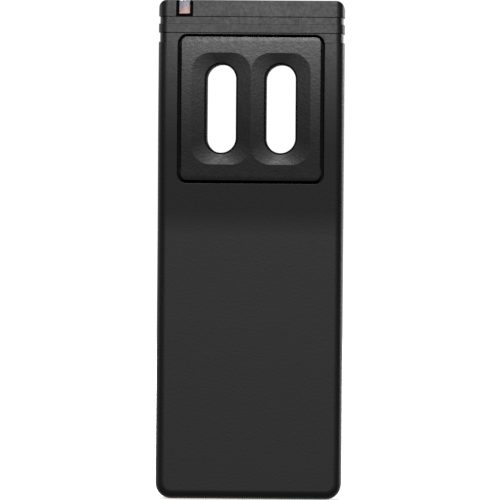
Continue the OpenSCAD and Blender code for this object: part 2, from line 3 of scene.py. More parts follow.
import bpy
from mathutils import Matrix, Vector


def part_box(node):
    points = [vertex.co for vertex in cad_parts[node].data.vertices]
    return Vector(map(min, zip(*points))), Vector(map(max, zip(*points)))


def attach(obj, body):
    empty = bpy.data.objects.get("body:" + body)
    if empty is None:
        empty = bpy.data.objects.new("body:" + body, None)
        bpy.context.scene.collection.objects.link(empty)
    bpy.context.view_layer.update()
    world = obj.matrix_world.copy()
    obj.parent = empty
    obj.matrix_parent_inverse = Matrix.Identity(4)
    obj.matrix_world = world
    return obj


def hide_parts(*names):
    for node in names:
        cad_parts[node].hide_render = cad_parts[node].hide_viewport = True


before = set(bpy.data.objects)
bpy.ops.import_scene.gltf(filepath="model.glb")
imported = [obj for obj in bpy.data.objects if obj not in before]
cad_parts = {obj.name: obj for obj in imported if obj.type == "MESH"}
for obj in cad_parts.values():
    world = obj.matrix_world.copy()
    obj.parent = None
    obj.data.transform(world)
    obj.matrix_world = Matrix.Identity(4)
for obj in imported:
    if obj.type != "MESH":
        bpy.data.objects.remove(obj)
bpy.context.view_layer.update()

bl_info = {
    "name": "Bodypack transmitter",
    "version": (1, 0, 0),
    "blender": (4, 5, 0),
    "location": "View3D > Sidebar > Bodypack",
    "description": "Builds a slim wireless bodypack transmitter, with its battery door and controls",
    "category": "Object",
}

MM = 0.001


def node_box(name):
    """Lowest and highest corner of a CAD node, in millimetres."""
    low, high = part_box(name)
    return low / MM, high / MM


SHELL_LOW, SHELL_HIGH = node_box("rear_shell")
FRONT_HIGH = node_box("front_shell")[1]
CAP_HIGH = node_box("top_cap")[1]
PLATE_LOW, PLATE_HIGH = node_box("strap_plate")
DOOR_HIGH = node_box("battery_door")[1]
LATCH_LOW, LATCH_HIGH = node_box("door_latch")
NUT_LOW, NUT_HIGH = node_box("jack_nut")
POWER_LOW, POWER_HIGH = node_box("power_button")
MUTE_LOW, MUTE_HIGH = node_box("mute_knob")
BARREL_LOW, BARREL_HIGH = node_box("jack_barrel")
DISPLAY_LOW, DISPLAY_HIGH = node_box("display_window")
BEZEL_LOW, BEZEL_HIGH = node_box("window_bezel")
LENS_LOW, LENS_HIGH = node_box("status_window")
LINER_LOW, LINER_HIGH = node_box("slot_liner")
PIN_LOW, PIN_HIGH = node_box("door_hinge_pin")
PIN_Y, PIN_Z = ((PIN_LOW[i] + PIN_HIGH[i]) / 2 for i in (1, 2))
PIN_RADIUS = (PIN_HIGH.z - PIN_LOW.z) / 2

# Sizes that several pieces share, in millimetres
BEYOND = 30  # how far a tool reaches when it has to run out past the case
NEAR = 0.01  # how close a place counts as lying on a face
FIT = 0.1  # clearance round a piece that sits still in its opening
FLANGE = 1.2  # thickness of the slot liner's flange
TUBE_WALL = 1.2  # wall of the slot liner's tubes
CAP_THICK = 1.5  # thickness of the head's top
DOOR_THICK = 1.5
PAD_HEIGHT = 2.4  # height of the latch's thumb pad
KEY_COLLAR = 0.6  # how far a front key's hidden collar stands out
BUTTON_COLLAR = 0.9  # the same for the power button
MUTE_TRAVEL = 2.6
BARREL_RADIUS = 3.0  # of the socket

CUT_GAP = 1e-7  # how close a cut counts a point as on its plane, in metres
SMOOTH_ANGLE = math.radians(32)  # faces that meet at less are shaded as one surface


# ---- sizes and colours ----


def length(name, description, default_mm, low=0.0, high=200.0):
    """A length setting, given in millimetres and kept in metres."""
    return bpy.props.FloatProperty(
        name=name,
        description=description,
        default=default_mm * MM,
        min=low * MM,
        max=high * MM,
        subtype="DISTANCE",
        unit="LENGTH",
        precision=5,
    )


def tint(name, description, default):
    """A colour setting."""
    return bpy.props.FloatVectorProperty(
        name=name, description=description, default=default, size=3, min=0.0, max=1.0, subtype="COLOR"
    )


class BodypackCaseSizes(bpy.types.PropertyGroup):
    """Sizes of the moulded case."""

    wall: length("Wall", "Thickness of the case walls", 1.5, 1.0, 2.5)
    edge_radius: length("Edge radius", "Radius rolled along the long edges", 2.2, 1.0, 4.0)
    foot_radius: length("Foot corners", "Corner radius at the foot", 3.7, 2.0, 6.0)
    head_radius: length("Head corners", "Corner radius at the head", 2.0, 1.0, 4.0)
    head_edge: length("Head edge", "Radius rolled over the top edge", 0.8, 0.2, 1.5)
    crest_drop: length("Crest drop", "Distance of the hump's crest below the head", 24.6, 20.0, 30.0)
    crest_radius: length("Crest radius", "Radius of the hump's crest", 126.0, 80.0, 200.0)
    hollow_radius: length("Hollow radius", "Radius of the hollow at the hump's foot", 70.0, 40.0, 120.0)
    slope_length: length("Slope length", "Length of the straight slope of the hump", 15.2, 10.0, 22.0)
    slope_angle: bpy.props.FloatProperty(
        name="Slope angle",
        description="Lean of the hump's straight slope",
        default=math.radians(5.1),
        min=math.radians(2.0),
        max=math.radians(8.0),
        subtype="ANGLE",
    )
    upper_groove: length("Upper groove", "Height of the groove under the cap", 1.8, 1.0, 2.5)
    ridge: length("Ridge", "Height of the ridge between the grooves", 2.1, 1.0, 3.0)
    lower_groove: length("Lower groove", "Height of the lower groove", 2.3, 1.0, 3.0)
    groove_depth: length("Groove depth", "Depth of both grooves", 0.33, 0.1, 0.6)
    seam_break: length("Seam break", "Softening of the edges along each seam", 0.12, 0.02, 0.3)


class BodypackStrapSizes(bpy.types.PropertyGroup):
    """Sizes of the strap plate and its slots."""

    plate_gap: length("Plate gap", "Gap all round the plate", 0.9, 0.3, 1.5)
    plate_radius: length("Plate corners", "Corner radius of the plate", 1.3, 0.5, 3.0)
    plate_edge: length("Plate edge", "Softening of the plate's outer edge", 0.16, 0.05, 0.5)
    pocket_edge: length("Pocket edge", "Softening of the rim of the plate's pocket", 0.16, 0.05, 0.5)
    slot_width: length("Slot width", "Width of each strap slot", 7.2, 5.0, 9.0)
    slot_length: length("Slot length", "Length of each strap slot", 21.4, 16.0, 24.0)
    slot_pitch: length("Slot pitch", "Distance between the middles of the slots", 14.44, 12.0, 16.0)
    slot_rim: length("Slot rim", "Width of the narrow step round each slot", 0.42, 0.05, 0.6)
    dish_width: length("Dish width", "Width of the dished surround of a slot", 14.44, 12.0, 16.0)
    dish_height: length("Dish height", "Height of the dished surround of a slot", 27.1, 24.0, 30.0)
    dish_radius: length("Dish corners", "Corner radius of the dished surround", 3.0, 1.0, 5.0)
    dish_depth: length("Dish depth", "Depth of the dish at the slot's rim", 0.52, 0.1, 0.8)


class BodypackControlSizes(bpy.types.PropertyGroup):
    """Sizes of the door, the keys and the head controls."""

    run_gap: length("Running gap", "Gap between moving parts and the case", 0.3, 0.1, 0.6)
    hinge_radius: length("Hinge radius", "Outer radius of the door's hinge barrel", 3.0, 2.0, 4.0)
    door_edge: length("Door edge", "Softening of the door's outer edges", 0.35, 0.05, 0.6)
    key_radius: length("Key corners", "Corner radius of the front keys", 1.8, 0.5, 2.2)
    key_mark: length("Key mark", "Depth of the sign cut in each key", 0.15, 0.02, 0.3)
    nut_recess: length("Nut recess", "Radius of the recess around the socket's nut", 4.7, 4.4, 5.0)
    bezel_rim: length("Bezel rim", "Width of the frame around the status window", 0.6, 0.2, 1.0)


class BodypackColours(bpy.types.PropertyGroup):
    """Colours of the visible finishes."""

    case: tint("Case", "Moulded black of the shells, cap and door", (0.005, 0.005, 0.0052))
    plate: tint("Strap plate", "Black of the strap plate", (0.006, 0.006, 0.0062))
    keys: tint("Keys", "Soft dark grey of the keys and the power button", (0.03, 0.03, 0.033))
    gloss: tint("Gloss black", "Polished black of the display window", (0.003, 0.003, 0.004))
    # The lens's two tints; lens() grades between them and lightens the foot as painted glow and painted
    # highlight
    lens_cool: tint("Lens, cool side", "Grey lilac of the status window", (0.34, 0.33, 0.37))
    lens_warm: tint("Lens, warm side", "Salmon of the status window", (0.66, 0.38, 0.36))
    mute: tint("Mute knob", "Red of the mute knob", (0.30, 0.018, 0.014))
    metal: tint("Nickel", "Plated metal of the socket and contacts", (0.62, 0.60, 0.56))
    jacket: tint("Cell jacket", "Wrap of the battery cells", (0.022, 0.05, 0.11))


def size(name):
    """A named size, in millimetres."""
    scene = bpy.context.scene
    for group in (scene.bodypack_case, scene.bodypack_strap, scene.bodypack_controls):
        if hasattr(group, name):
            return getattr(group, name) / MM
    raise AttributeError(name)


def colour(name):
    """A named colour, with alpha."""
    return (*getattr(bpy.context.scene.bodypack_colours, name), 1.0)


# ---- the case's main heights ----


def heads():
    """Heights of the grooves and the seam under the cap: groove, ridge, ridge top, seam."""
    seam = SHELL_HIGH.z
    ridge_top = seam - size("upper_groove")
    ridge_low = ridge_top - size("ridge")
    return ridge_low - size("lower_groove"), ridge_low, ridge_top, seam


def hump():
    """Heights and depths where the rear surface changes from flat to hollow, slope and crest."""
    lean = bpy.context.scene.bodypack_case.slope_angle
    crest_y, crest_z = SHELL_LOW.y, CAP_HIGH.z - size("crest_drop")
    bend_z = crest_z - size("crest_radius") * math.sin(lean)
    slope_z = bend_z - size("slope_length") * math.cos(lean)
    hollow_z = slope_z - size("hollow_radius") * math.sin(lean)
    turns = (size("hollow_radius") + size("crest_radius")) * (1 - math.cos(lean))
    rise = turns + size("slope_length") * math.sin(lean)
    return lean, crest_y, crest_z, bend_z, slope_z, hollow_z, crest_y + rise


def rear_depth(z):
    """Depth of the case's rear surface at a height."""
    lean, crest_y, crest_z, bend_z, slope_z, hollow_z, flat_y = hump()
    hollow, crest = size("hollow_radius"), size("crest_radius")
    if z <= hollow_z:
        return flat_y
    if z <= slope_z:
        return flat_y - hollow + math.sqrt(hollow**2 - (z - hollow_z) ** 2)
    if z <= bend_z:
        return flat_y - hollow * (1 - math.cos(lean)) - (z - slope_z) * math.tan(lean)
    return crest_y + crest - math.sqrt(crest**2 - (z - crest_z) ** 2)


def rear_stations(low, high):
    """Heights between two others where the rear surface is cut so that it can follow its curve."""
    bend_z, slope_z, hollow_z = hump()[3:6]
    top = CAP_HIGH.z + 2
    hollow_steps, crest_steps, clear = 5, 24, 0.05
    hollow = [hollow_z + i * (slope_z - hollow_z) / hollow_steps for i in range(hollow_steps + 1)]
    crest = [bend_z + i * (top - bend_z) / crest_steps for i in range(crest_steps + 1)]
    return [z for z in hollow + crest if low + clear < z < high - clear]


# ---- modelling tools ----


def start(piece=None):
    """Leaves edit mode, deselects everything, and picks one object."""
    if bpy.context.mode != "OBJECT":
        bpy.ops.object.mode_set(mode="OBJECT")
    bpy.ops.object.select_all(action="DESELECT")
    if piece is not None:
        piece.select_set(True)
        bpy.context.view_layer.objects.active = piece


def edit(piece, kind="VERT", all_selected=False):
    """Opens a piece in edit mode."""
    start(piece)
    bpy.ops.object.mode_set(mode="EDIT")
    bpy.ops.mesh.select_mode(type=kind)
    bpy.ops.mesh.select_all(action="SELECT" if all_selected else "DESELECT")


def done():
    """Leaves edit mode."""
    bpy.ops.object.mode_set(mode="OBJECT")


def block(x0, x1, y0, y1, z0, z1):
    """A block between two corners, in millimetres, with its place in its mesh."""
    start()
    low, high = Vector((x0, y0, z0)) * MM, Vector((x1, y1, z1)) * MM
    bpy.ops.mesh.primitive_cube_add(size=1, location=(low + high) / 2, scale=high - low)
    bpy.ops.object.transform_apply(location=True, rotation=True, scale=True)
    return bpy.context.object


TURN = {"x": (0, math.pi / 2, 0), "y": (math.pi / 2, 0, 0), "z": (0, 0, 0)}


def rod(centre, radius, low, high, axis="z", sides=48):
    """A rod along an axis between two positions on it; centre holds the other two coordinates."""
    start()
    place = list(centre)
    place.insert("xyz".index(axis), (low + high) / 2)
    bpy.ops.mesh.primitive_cylinder_add(
        vertices=sides, radius=radius * MM, depth=(high - low) * MM,
        location=Vector(place) * MM, rotation=TURN[axis],
    )
    bpy.ops.object.transform_apply(location=True, rotation=True, scale=True)
    return bpy.context.object


def pick_edges(piece, test):
    """Selects the edges that pass a test of their ends, in millimetres, and of the normals beside them."""
    edit(piece, "EDGE")
    done()
    mesh = piece.data
    beside = {}
    for face in mesh.polygons:
        for key in face.edge_keys:
            beside.setdefault(key, []).append(face.normal.copy())
    found = 0
    for edge in mesh.edges:
        a, b = (mesh.vertices[i].co / MM for i in edge.vertices)
        edge.select = bool(test(a, b, beside.get(edge.key, [])))
        found += edge.select
    if not found:
        raise RuntimeError(f"{piece.name}: no edge was found to shape")
    bpy.ops.object.mode_set(mode="EDIT")


def pick_faces(piece, test):
    """Selects the faces that pass a test of their middle, in millimetres, and their normal."""
    edit(piece, "FACE")
    done()
    found = 0
    for face in piece.data.polygons:
        face.select = bool(test(face.center / MM, face.normal))
        found += face.select
    if not found:
        raise RuntimeError(f"{piece.name}: no face was found to shape")
    bpy.ops.object.mode_set(mode="EDIT")


def round_edges(piece, test, radius, steps=4):
    """Rounds the edges that pass a test."""
    pick_edges(piece, test)
    bpy.ops.mesh.bevel(
        offset=radius * MM, offset_type="OFFSET", segments=steps, profile=0.5,
        affect="EDGES", clamp_overlap=True,
    )
    done()
    tidy(piece)


def tidy(piece, gap=0.0005):
    """Merges doubles and turns the faces outwards."""
    edit(piece, all_selected=True)
    bpy.ops.mesh.remove_doubles(threshold=gap * MM)
    bpy.ops.mesh.normals_make_consistent(inside=False)
    done()


def along(axis):
    """A test for edges that run along an axis."""
    i = "xyz".index(axis)
    return lambda a, b, normals: all(abs(a[k] - b[k]) < 1e-3 for k in range(3) if k != i)


def brink(axis, face):
    """A test for the sharp edges round a face that lies across an axis."""
    i = "xyz".index(axis)
    return lambda a, b, normals: (
        min(a[i], b[i]) > face - NEAR and len(normals) == 2 and normals[0].dot(normals[1]) < 0.5
    )


def top_brink(top, upright):
    """A test for the edges at a height between a level face and one that is upright, or nearly so."""
    return lambda a, b, normals: (
        min(a.z, b.z) > top - NEAR
        and any(n.z > 0.9 for n in normals)
        and any(abs(n.z) < upright for n in normals)
    )


def rounded_block(x0, x1, y0, y1, z0, z1, radius, axis="y", steps=6):
    """A block whose four edges along one axis are rounded."""
    piece = block(x0, x1, y0, y1, z0, z1)
    round_edges(piece, along(axis), radius, steps)
    return piece


def slot_block(x, z, width, tall, y0, y1, steps=12):
    """An upright slot with round ends, between two depths."""
    # Just short of half the width, so that the ends' curves don't meet in one point
    radius = width / 2 - 0.001
    return rounded_block(
        x - width / 2, x + width / 2, y0, y1, z - tall / 2, z + tall / 2, radius, "y", steps
    )


def slice_at(piece, axis, places):
    """Cuts edges into a piece across an axis."""
    normal = [float(axis == k) for k in "xyz"]
    edit(piece, all_selected=True)
    for place in places:
        bpy.ops.mesh.select_all(action="SELECT")
        bpy.ops.mesh.bisect(
            plane_co=[n * place * MM for n in normal], plane_no=normal, threshold=CUT_GAP
        )
    done()


def trim(piece, axis, place, keep):
    """Cuts a piece at a plane and closes it, keeping its low or its high side."""
    normal = [float(axis == k) for k in "xyz"]
    edit(piece, all_selected=True)
    bpy.ops.mesh.bisect(
        plane_co=[n * place * MM for n in normal], plane_no=normal, use_fill=True,
        clear_inner=keep == "high", clear_outer=keep == "low", threshold=CUT_GAP,
    )
    done()


def copy_of(piece):
    """A copy with its own mesh."""
    start(piece)
    bpy.ops.object.duplicate()
    return bpy.context.object


def modify(piece, kind, **settings):
    """Applies a modifier to a piece."""
    start(piece)
    bpy.ops.object.modifier_add(type=kind)
    modifier = piece.modifiers[-1]
    for key, value in settings.items():
        setattr(modifier, key, value)
    bpy.ops.object.modifier_apply(modifier=modifier.name)


def combine(piece, tool, how):
    """Cuts, joins or crosses a piece with another, which is used up."""
    modify(piece, "BOOLEAN", operation=how, solver="EXACT", object=tool)
    bpy.data.objects.remove(tool)
    if not piece.data.polygons:
        raise RuntimeError(f"{piece.name}: nothing is left after {how.lower()}")
    return piece


def cut(piece, *tools):
    """Takes each tool out of a piece in turn."""
    for tool in tools:
        combine(piece, tool, "DIFFERENCE")
    return piece


def add(piece, *tools):
    """Melts each tool into a piece in turn."""
    for tool in tools:
        combine(piece, tool, "UNION")
    return piece


def cross(piece, tool):
    """Keeps only what a piece shares with a tool."""
    return combine(piece, tool, "INTERSECT")


def soften(piece, width, angle=40, steps=2):
    """Breaks every edge sharper than an angle."""
    modify(
        piece, "BEVEL", width=width * MM, segments=steps, limit_method="ANGLE",
        angle_limit=math.radians(angle), use_clamp_overlap=True, miter_outer="MITER_ARC",
    )


def flatten(piece):
    """Shades large flat faces as flat, so that only the rolled edges beside them are shaded round."""
    modify(piece, "WEIGHTED_NORMAL", keep_sharp=True)


def join(piece, *others):
    """Joins loose parts into one piece."""
    start(piece)
    for other in others:
        other.select_set(True)
    bpy.ops.object.join()
    return piece


def finish_piece(piece, name, body, nodes, finish):
    """Names a piece, gives it its finish, and has it stand for its CAD nodes on their body."""
    tidy(piece, 0.0002)
    start(piece)
    bpy.ops.object.shade_smooth_by_angle(angle=SMOOTH_ANGLE)
    piece.name = piece.data.name = name
    piece.data.materials.clear()
    piece.data.materials.append(finishes()[finish])
    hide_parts(*nodes)
    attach(piece, body)
    return piece


# ---- finishes ----


class Finish:
    """A procedural material being wired, with its patterns measured in millimetres on the object."""

    def __init__(self, name):
        self.material = bpy.data.materials.new(name)
        self.material.use_nodes = True
        self.tree = self.material.node_tree
        self.shader = self.tree.nodes["Principled BSDF"]
        where = self.node("ShaderNodeTexCoord")
        self.place = self.node("ShaderNodeMapping", {"Scale": (1 / MM,) * 3})
        self.wire(where.outputs["Object"], self.place.inputs["Vector"])

    def node(self, kind, inputs=(), **settings):
        """A new node, with some of its settings and the constants on some of its inputs."""
        made = self.tree.nodes.new(kind)
        for key, value in settings.items():
            setattr(made, key, value)
        for key, value in dict(inputs).items():
            made.inputs[key].default_value = value
        return made

    def wire(self, source, target):
        """Joins an output to an input."""
        self.tree.links.new(source, target)

    def feed(self, socket, source):
        """Joins an output to a socket of the shader."""
        self.wire(source, self.shader.inputs[socket])

    def set(self, **values):
        """Sets constants on the shader's own sockets."""
        for key, value in values.items():
            self.shader.inputs[key.replace("_", " ")].default_value = value
        return self

    def stretched(self, scale):
        """Coordinates stretched by a factor along each axis."""
        made = self.node("ShaderNodeMapping", {"Scale": scale})
        self.wire(self.place.outputs["Vector"], made.inputs["Vector"])
        return made.outputs["Vector"]

    def stood_up(self):
        """Coordinates turned so that a flat pattern stands upright, as the boards do."""
        turned = self.stretched((1.0, 1.0, 1.0))
        turned.node.inputs["Rotation"].default_value = (math.pi / 2, 0, 0)
        return turned

    def noise(self, scale, detail=3.0, rough=0.55, vector=None):
        """Cloudy noise; scale is in features per millimetre."""
        made = self.node("ShaderNodeTexNoise", {"Scale": scale, "Detail": detail, "Roughness": rough})
        self.wire(vector or self.place.outputs["Vector"], made.inputs["Vector"])
        return made.outputs[0]

    def pits(self, scale):
        """Soft round pits, as a spark-eroded mould leaves."""
        made = self.node(
            "ShaderNodeTexVoronoi", {"Scale": scale, "Smoothness": 0.6}, feature="SMOOTH_F1"
        )
        self.wire(self.place.outputs["Vector"], made.inputs["Vector"])
        return made.outputs["Distance"]

    def span(self, value, low, high, to_low=0.0, to_high=1.0):
        """Maps a value from one range to another, held at the ends."""
        ends = {"From Min": low, "From Max": high, "To Min": to_low, "To Max": to_high}
        made = self.node("ShaderNodeMapRange", ends, clamp=True)
        self.wire(value, made.inputs["Value"])
        return made.outputs["Result"]

    def sum(self, a, b, share=0.5):
        """Mixes two values."""
        made = self.node("ShaderNodeMix", {"Factor": share}, data_type="FLOAT")
        self.wire(a, made.inputs["A"])
        self.wire(b, made.inputs["B"])
        return made.outputs["Result"]

    def times(self, a, b):
        """Multiplies two values."""
        made = self.node("ShaderNodeMath", operation="MULTIPLY")
        self.wire(a, made.inputs[0])
        self.wire(b, made.inputs[1])
        return made.outputs[0]

    def blend(self, share, a, b):
        """Mixes two colours, each a colour or a socket, by a value."""
        made = self.node("ShaderNodeMix", data_type="RGBA")
        self.wire(share, made.inputs["Factor"])
        sockets = [s for s in made.inputs if s.type == "RGBA"]
        for source, target in zip((a, b), sockets):
            if isinstance(source, tuple):
                target.default_value = source
            else:
                self.wire(source, target)
        return next(s for s in made.outputs if s.type == "RGBA")

    def edges(self, radius):
        """How close the surface is to an edge, 0 to 1, and the normal rounded over it."""
        rounded = self.node("ShaderNodeBevel", {"Radius": radius * MM}, samples=4)
        real = self.node("ShaderNodeNewGeometry")
        dot = self.node("ShaderNodeVectorMath", operation="DOT_PRODUCT")
        self.wire(rounded.outputs["Normal"], dot.inputs[0])
        self.wire(real.outputs["Normal"], dot.inputs[1])
        return self.span(dot.outputs["Value"], 0.995, 0.88), rounded.outputs["Normal"]

    def bump(self, height, depth, strength=1.0, normal=None):
        """Raises the surface by up to a depth, in millimetres."""
        made = self.node("ShaderNodeBump", {"Strength": strength, "Distance": depth * MM})
        self.wire(height, made.inputs["Height"])
        if normal is not None:
            self.wire(normal, made.inputs["Normal"])
        return made.outputs["Normal"]

    def axis(self, name):
        """The place along one axis, in millimetres."""
        split = self.node("ShaderNodeSeparateXYZ")
        self.wire(self.place.outputs["Vector"], split.inputs["Vector"])
        return split.outputs[name]


def shifted(tone, factor):
    """A colour made lighter or darker."""
    return (*(min(1.0, c * factor) for c in tone[:3]), 1.0)


def moulded(
    name, tone, rough, specular, grain=1.6, depth=0.012, mottle=0.12, wear=1.8, edge=0.14, swell=0.004
):
    """Moulded plastic with a spark-eroded grain, faint flow mottling and rubbed edges."""
    f = Finish(name)
    cloud = f.noise(mottle, 4.0, 0.6)
    fleck = f.noise(grain * 0.8, 2.0, 0.5)
    grit = f.pits(grain * 1.6)
    worn, rounded = f.edges(edge)
    rub = f.times(worn, f.span(f.noise(0.9, 3.0), 0.4, 0.62))
    body = f.blend(f.span(f.sum(cloud, fleck, 0.45), 0.36, 0.64), shifted(tone, 0.82), shifted(tone, 1.2))
    f.feed("Base Color", f.blend(rub, body, shifted(tone, wear)))
    sheen = f.span(f.sum(f.sum(cloud, fleck, 0.6), worn, 0.12), 0.3, 0.7, rough + 0.06, rough - 0.06)
    f.feed("Roughness", sheen)
    broad = f.bump(f.noise(1.5, 2.0, 0.5), swell, 1.0, rounded)
    fine = f.bump(f.sum(grit, f.noise(grain * 3.2, 3.0), 0.5), depth, 1.0, broad)
    f.feed("Normal", fine)
    f.set(Specular_IOR_Level=specular)
    return f.material


def metal(name, tone, rough, brushed=(1.0, 1.0, 12.0), depth=0.004, tarnish=0.7):
    """Worked metal with a direction to its scratches, and dulling in patches."""
    f = Finish(name)
    lines = f.noise(1.4, 5.0, 0.7, f.stretched(brushed))
    patch = f.noise(0.35, 4.0, 0.6)
    worn, rounded = f.edges(0.08)
    body = f.blend(f.span(patch, 0.4, 0.65), tone, shifted(tone, tarnish))
    f.feed("Base Color", f.blend(worn, body, shifted(tone, 1.25)))
    worked = f.span(f.sum(lines, patch, 0.4), 0.3, 0.7, rough - 0.08, rough + 0.14)
    f.feed("Roughness", worked)
    f.feed("Normal", f.bump(lines, depth, 0.6, rounded))
    f.set(Metallic=1.0)
    return f.material


def polished(name, tone):
    """Polished black plastic with a faint flow and hairline rubbing."""
    f = Finish(name)
    haze = f.noise(0.5, 4.0)
    hair = f.noise(2.0, 5.0, 0.7, f.stretched((1.0, 1.0, 0.15)))
    f.feed("Base Color", f.blend(f.span(haze, 0.35, 0.65), tone, shifted(tone, 1.6)))
    f.feed("Roughness", f.span(f.sum(haze, hair), 0.35, 0.65, 0.16, 0.26))
    f.feed("Normal", f.bump(hair, 0.0015, 0.5))
    f.set(Specular_IOR_Level=0.35, Coat_Weight=0.15, Coat_Roughness=0.2)
    return f.material


def lens(name, cool, warm):
    """Tinted window with painted light: cool above and to one side, lighter and warmer towards its foot as a
    painted glow, and brightest along the foot as a painted highlight.
    """
    f = Finish(name)
    # The tint is painted cooler above and to one side and warmer and lighter lower down: a painted glow
    up = f.span(f.axis("Z"), LENS_LOW.z + 0.3, LENS_HIGH.z - 0.6)
    over = f.span(f.axis("X"), LENS_HIGH.x, LENS_LOW.x)
    cloud = f.noise(0.9, 3.0)
    share = f.span(f.sum(f.sum(up, over, 0.35), cloud, 0.2), 0.28, 0.6)
    # A band along the foot is lightened further: a painted highlight
    low = f.span(f.axis("Z"), LENS_LOW.z + 0.6, LENS_LOW.z + 0.3)
    tone = f.blend(low, f.blend(share, warm, cool), shifted(warm, 1.3))
    f.feed("Base Color", tone)
    f.feed("Roughness", f.span(cloud, 0.3, 0.7, 0.3, 0.42))
    f.feed("Normal", f.bump(f.noise(2.2, 2.0), 0.004, 0.5))
    f.set(Specular_IOR_Level=0.15, Coat_Weight=0.05, Coat_Roughness=0.3)
    return f.material


def circuit_board(name):
    """Green solder mask over fine tracks and pads."""
    f = Finish(name)
    layout = {"Scale": 0.35, "Mortar Size": 0.035, "Brick Width": 1.3, "Row Height": 0.42}
    tracks = f.node("ShaderNodeTexBrick", layout)
    f.wire(f.stood_up(), tracks.inputs["Vector"])
    fac = f.span(tracks.outputs["Fac"], 0.3, 0.7)
    cloud = f.noise(0.6, 3.0)
    mask = f.blend(cloud, (0.008, 0.09, 0.035, 1), (0.014, 0.14, 0.055, 1))
    f.feed("Base Color", f.blend(fac, mask, (0.03, 0.22, 0.09, 1)))
    f.feed("Roughness", f.span(f.sum(cloud, fac, 0.3), 0.2, 0.8, 0.32, 0.48))
    f.feed("Normal", f.bump(fac, 0.03, 0.6))
    return f.material


def cell_jacket(name, tone):
    """Printed wrap of a cell: dark body with a painted sheen in patches, a bright band near each end, and
    bare metal ends.
    """
    f = Finish(name)
    low, high = node_box("battery_cell_left")
    z = f.axis("Z")
    # Noise that lightens the wrap in patches as a painted sheen, and also gives its faint bump
    painted_sheen_noise = f.noise(0.5, 3.0)
    body = f.blend(painted_sheen_noise, tone, shifted(tone, 1.7))
    band = f.times(f.span(z, high.z - 13.0, high.z - 12.8), f.span(z, high.z - 4.2, high.z - 4.4))
    banded = f.blend(band, body, (0.42, 0.20, 0.05, 1))
    ends = f.sum(f.span(z, low.z + 0.7, low.z + 0.5), f.span(z, high.z - 1.5, high.z - 1.3), 0.5)
    ends = f.span(ends, 0.2, 0.4)
    f.feed("Base Color", f.blend(ends, banded, (0.55, 0.54, 0.5, 1)))
    f.feed("Metallic", ends)
    streaks = f.noise(1.6, 4.0, 0.6, f.stretched((1, 1, 0.1)))
    f.feed("Roughness", f.span(streaks, 0.3, 0.7, 0.2, 0.36))
    f.feed("Normal", f.bump(painted_sheen_noise, 0.02, 0.4, f.edges(0.1)[1]))
    return f.material


def display_face(name):
    """Grey-green display with its fine grid of cells."""
    f = Finish(name)
    layout = {"Scale": 1.0, "Mortar Size": 0.06, "Brick Width": 1.0, "Row Height": 1.0}
    cells = f.node("ShaderNodeTexBrick", layout, offset=0.0)
    f.wire(f.stood_up(), cells.inputs["Vector"])
    tone = f.blend(cells.outputs["Fac"], (0.05, 0.06, 0.045, 1), (0.025, 0.03, 0.022, 1))
    f.feed("Base Color", tone)
    f.feed("Roughness", f.span(f.noise(0.8, 3.0), 0.3, 0.7, 0.18, 0.3))
    f.feed("Normal", f.bump(f.noise(4.0, 2.0), 0.002, 0.4))
    return f.material


def lamp(name):
    """Clear top of a small status lamp."""
    f = Finish(name)
    glow = f.noise(1.4, 2.0)
    f.feed("Base Color", f.blend(glow, (0.75, 0.72, 0.66, 1), (0.9, 0.86, 0.8, 1)))
    f.feed("Roughness", f.span(glow, 0.3, 0.7, 0.15, 0.3))
    f.feed("Normal", f.bump(glow, 0.01, 0.5))
    f.set(Subsurface_Weight=0.2)
    return f.material


def finishes():
    """Every finish by name, made once."""
    made = getattr(finishes, "made", None)
    if made is None:
        made = finishes.made = {
            "case": moulded("Spark-eroded black case", colour("case"), 0.48, 0.48, swell=0.014),
            "plate": moulded("Strap plate black", colour("plate"), 0.41, 0.56, 1.2, 0.02, 0.2, swell=0.03),
            # Painted shade: a near-black matte finish put on the plate's pocket, the slot walls and the
            # liner, standing in for the shadow there
            "painted_shade": moulded(
                "Painted shadow black", (0.003, 0.003, 0.003, 1), 0.72, 0.12, 1.4, 0.008, 0.2, 1.5, 0.06
            ),
            "bezel": moulded(
                "Bezel black", (0.0015, 0.0015, 0.0015, 1), 0.7, 0.05, 2.4, 0.004, 0.4, 1.2, 0.06
            ),
            "screw": metal("Blackened screw", (0.02, 0.02, 0.02, 1), 0.5),
            "inner": moulded("Tray charcoal", (0.016, 0.016, 0.018, 1), 0.55, 0.35, 1.1, 0.01),
            "keys": moulded("Soft key grey", colour("keys"), 0.55, 0.35, 2.4, 0.01, 0.3, 1.6, 0.12),
            "rubber": moulded("Seal rubber", (0.008, 0.008, 0.008, 1), 0.75, 0.25, 2.8, 0.02, 0.4, 1.4),
            "chip": moulded("Chip epoxy", (0.012, 0.012, 0.013, 1), 0.6, 0.35, 4.0, 0.008, 0.5, 1.5, 0.08),
            "switch": moulded("Switch grey", (0.26, 0.26, 0.25, 1), 0.45, 0.5, 2.0, 0.006, 0.4, 1.2, 0.08),
            "mute": moulded("Mute knob red", colour("mute"), 0.42, 0.5, 2.4, 0.008, 0.5, 1.4, 0.1),
            "gloss": polished("Polished black", colour("gloss")),
            "lens": lens("Status lens", colour("lens_cool"), colour("lens_warm")),
            "nickel": metal("Nickel plate", colour("metal"), 0.26, (1.0, 1.0, 9.0)),
            "steel": metal("Ground steel", (0.50, 0.50, 0.49, 1), 0.3, (12.0, 1.0, 1.0)),
            "copper": metal("Copper strip", (0.80, 0.38, 0.20, 1), 0.3, (1.0, 1.0, 8.0), 0.004, 0.6),
            "tin": metal("Tinned shield", (0.66, 0.67, 0.68, 1), 0.34, (8.0, 1.0, 1.0)),
            "board": circuit_board("Green board"),
            "display": display_face("Display glass"),
            "led": lamp("Lamp top"),
            "jacket": cell_jacket("Cell wrap", colour("jacket")),
        }
    return made


# ---- the case ----


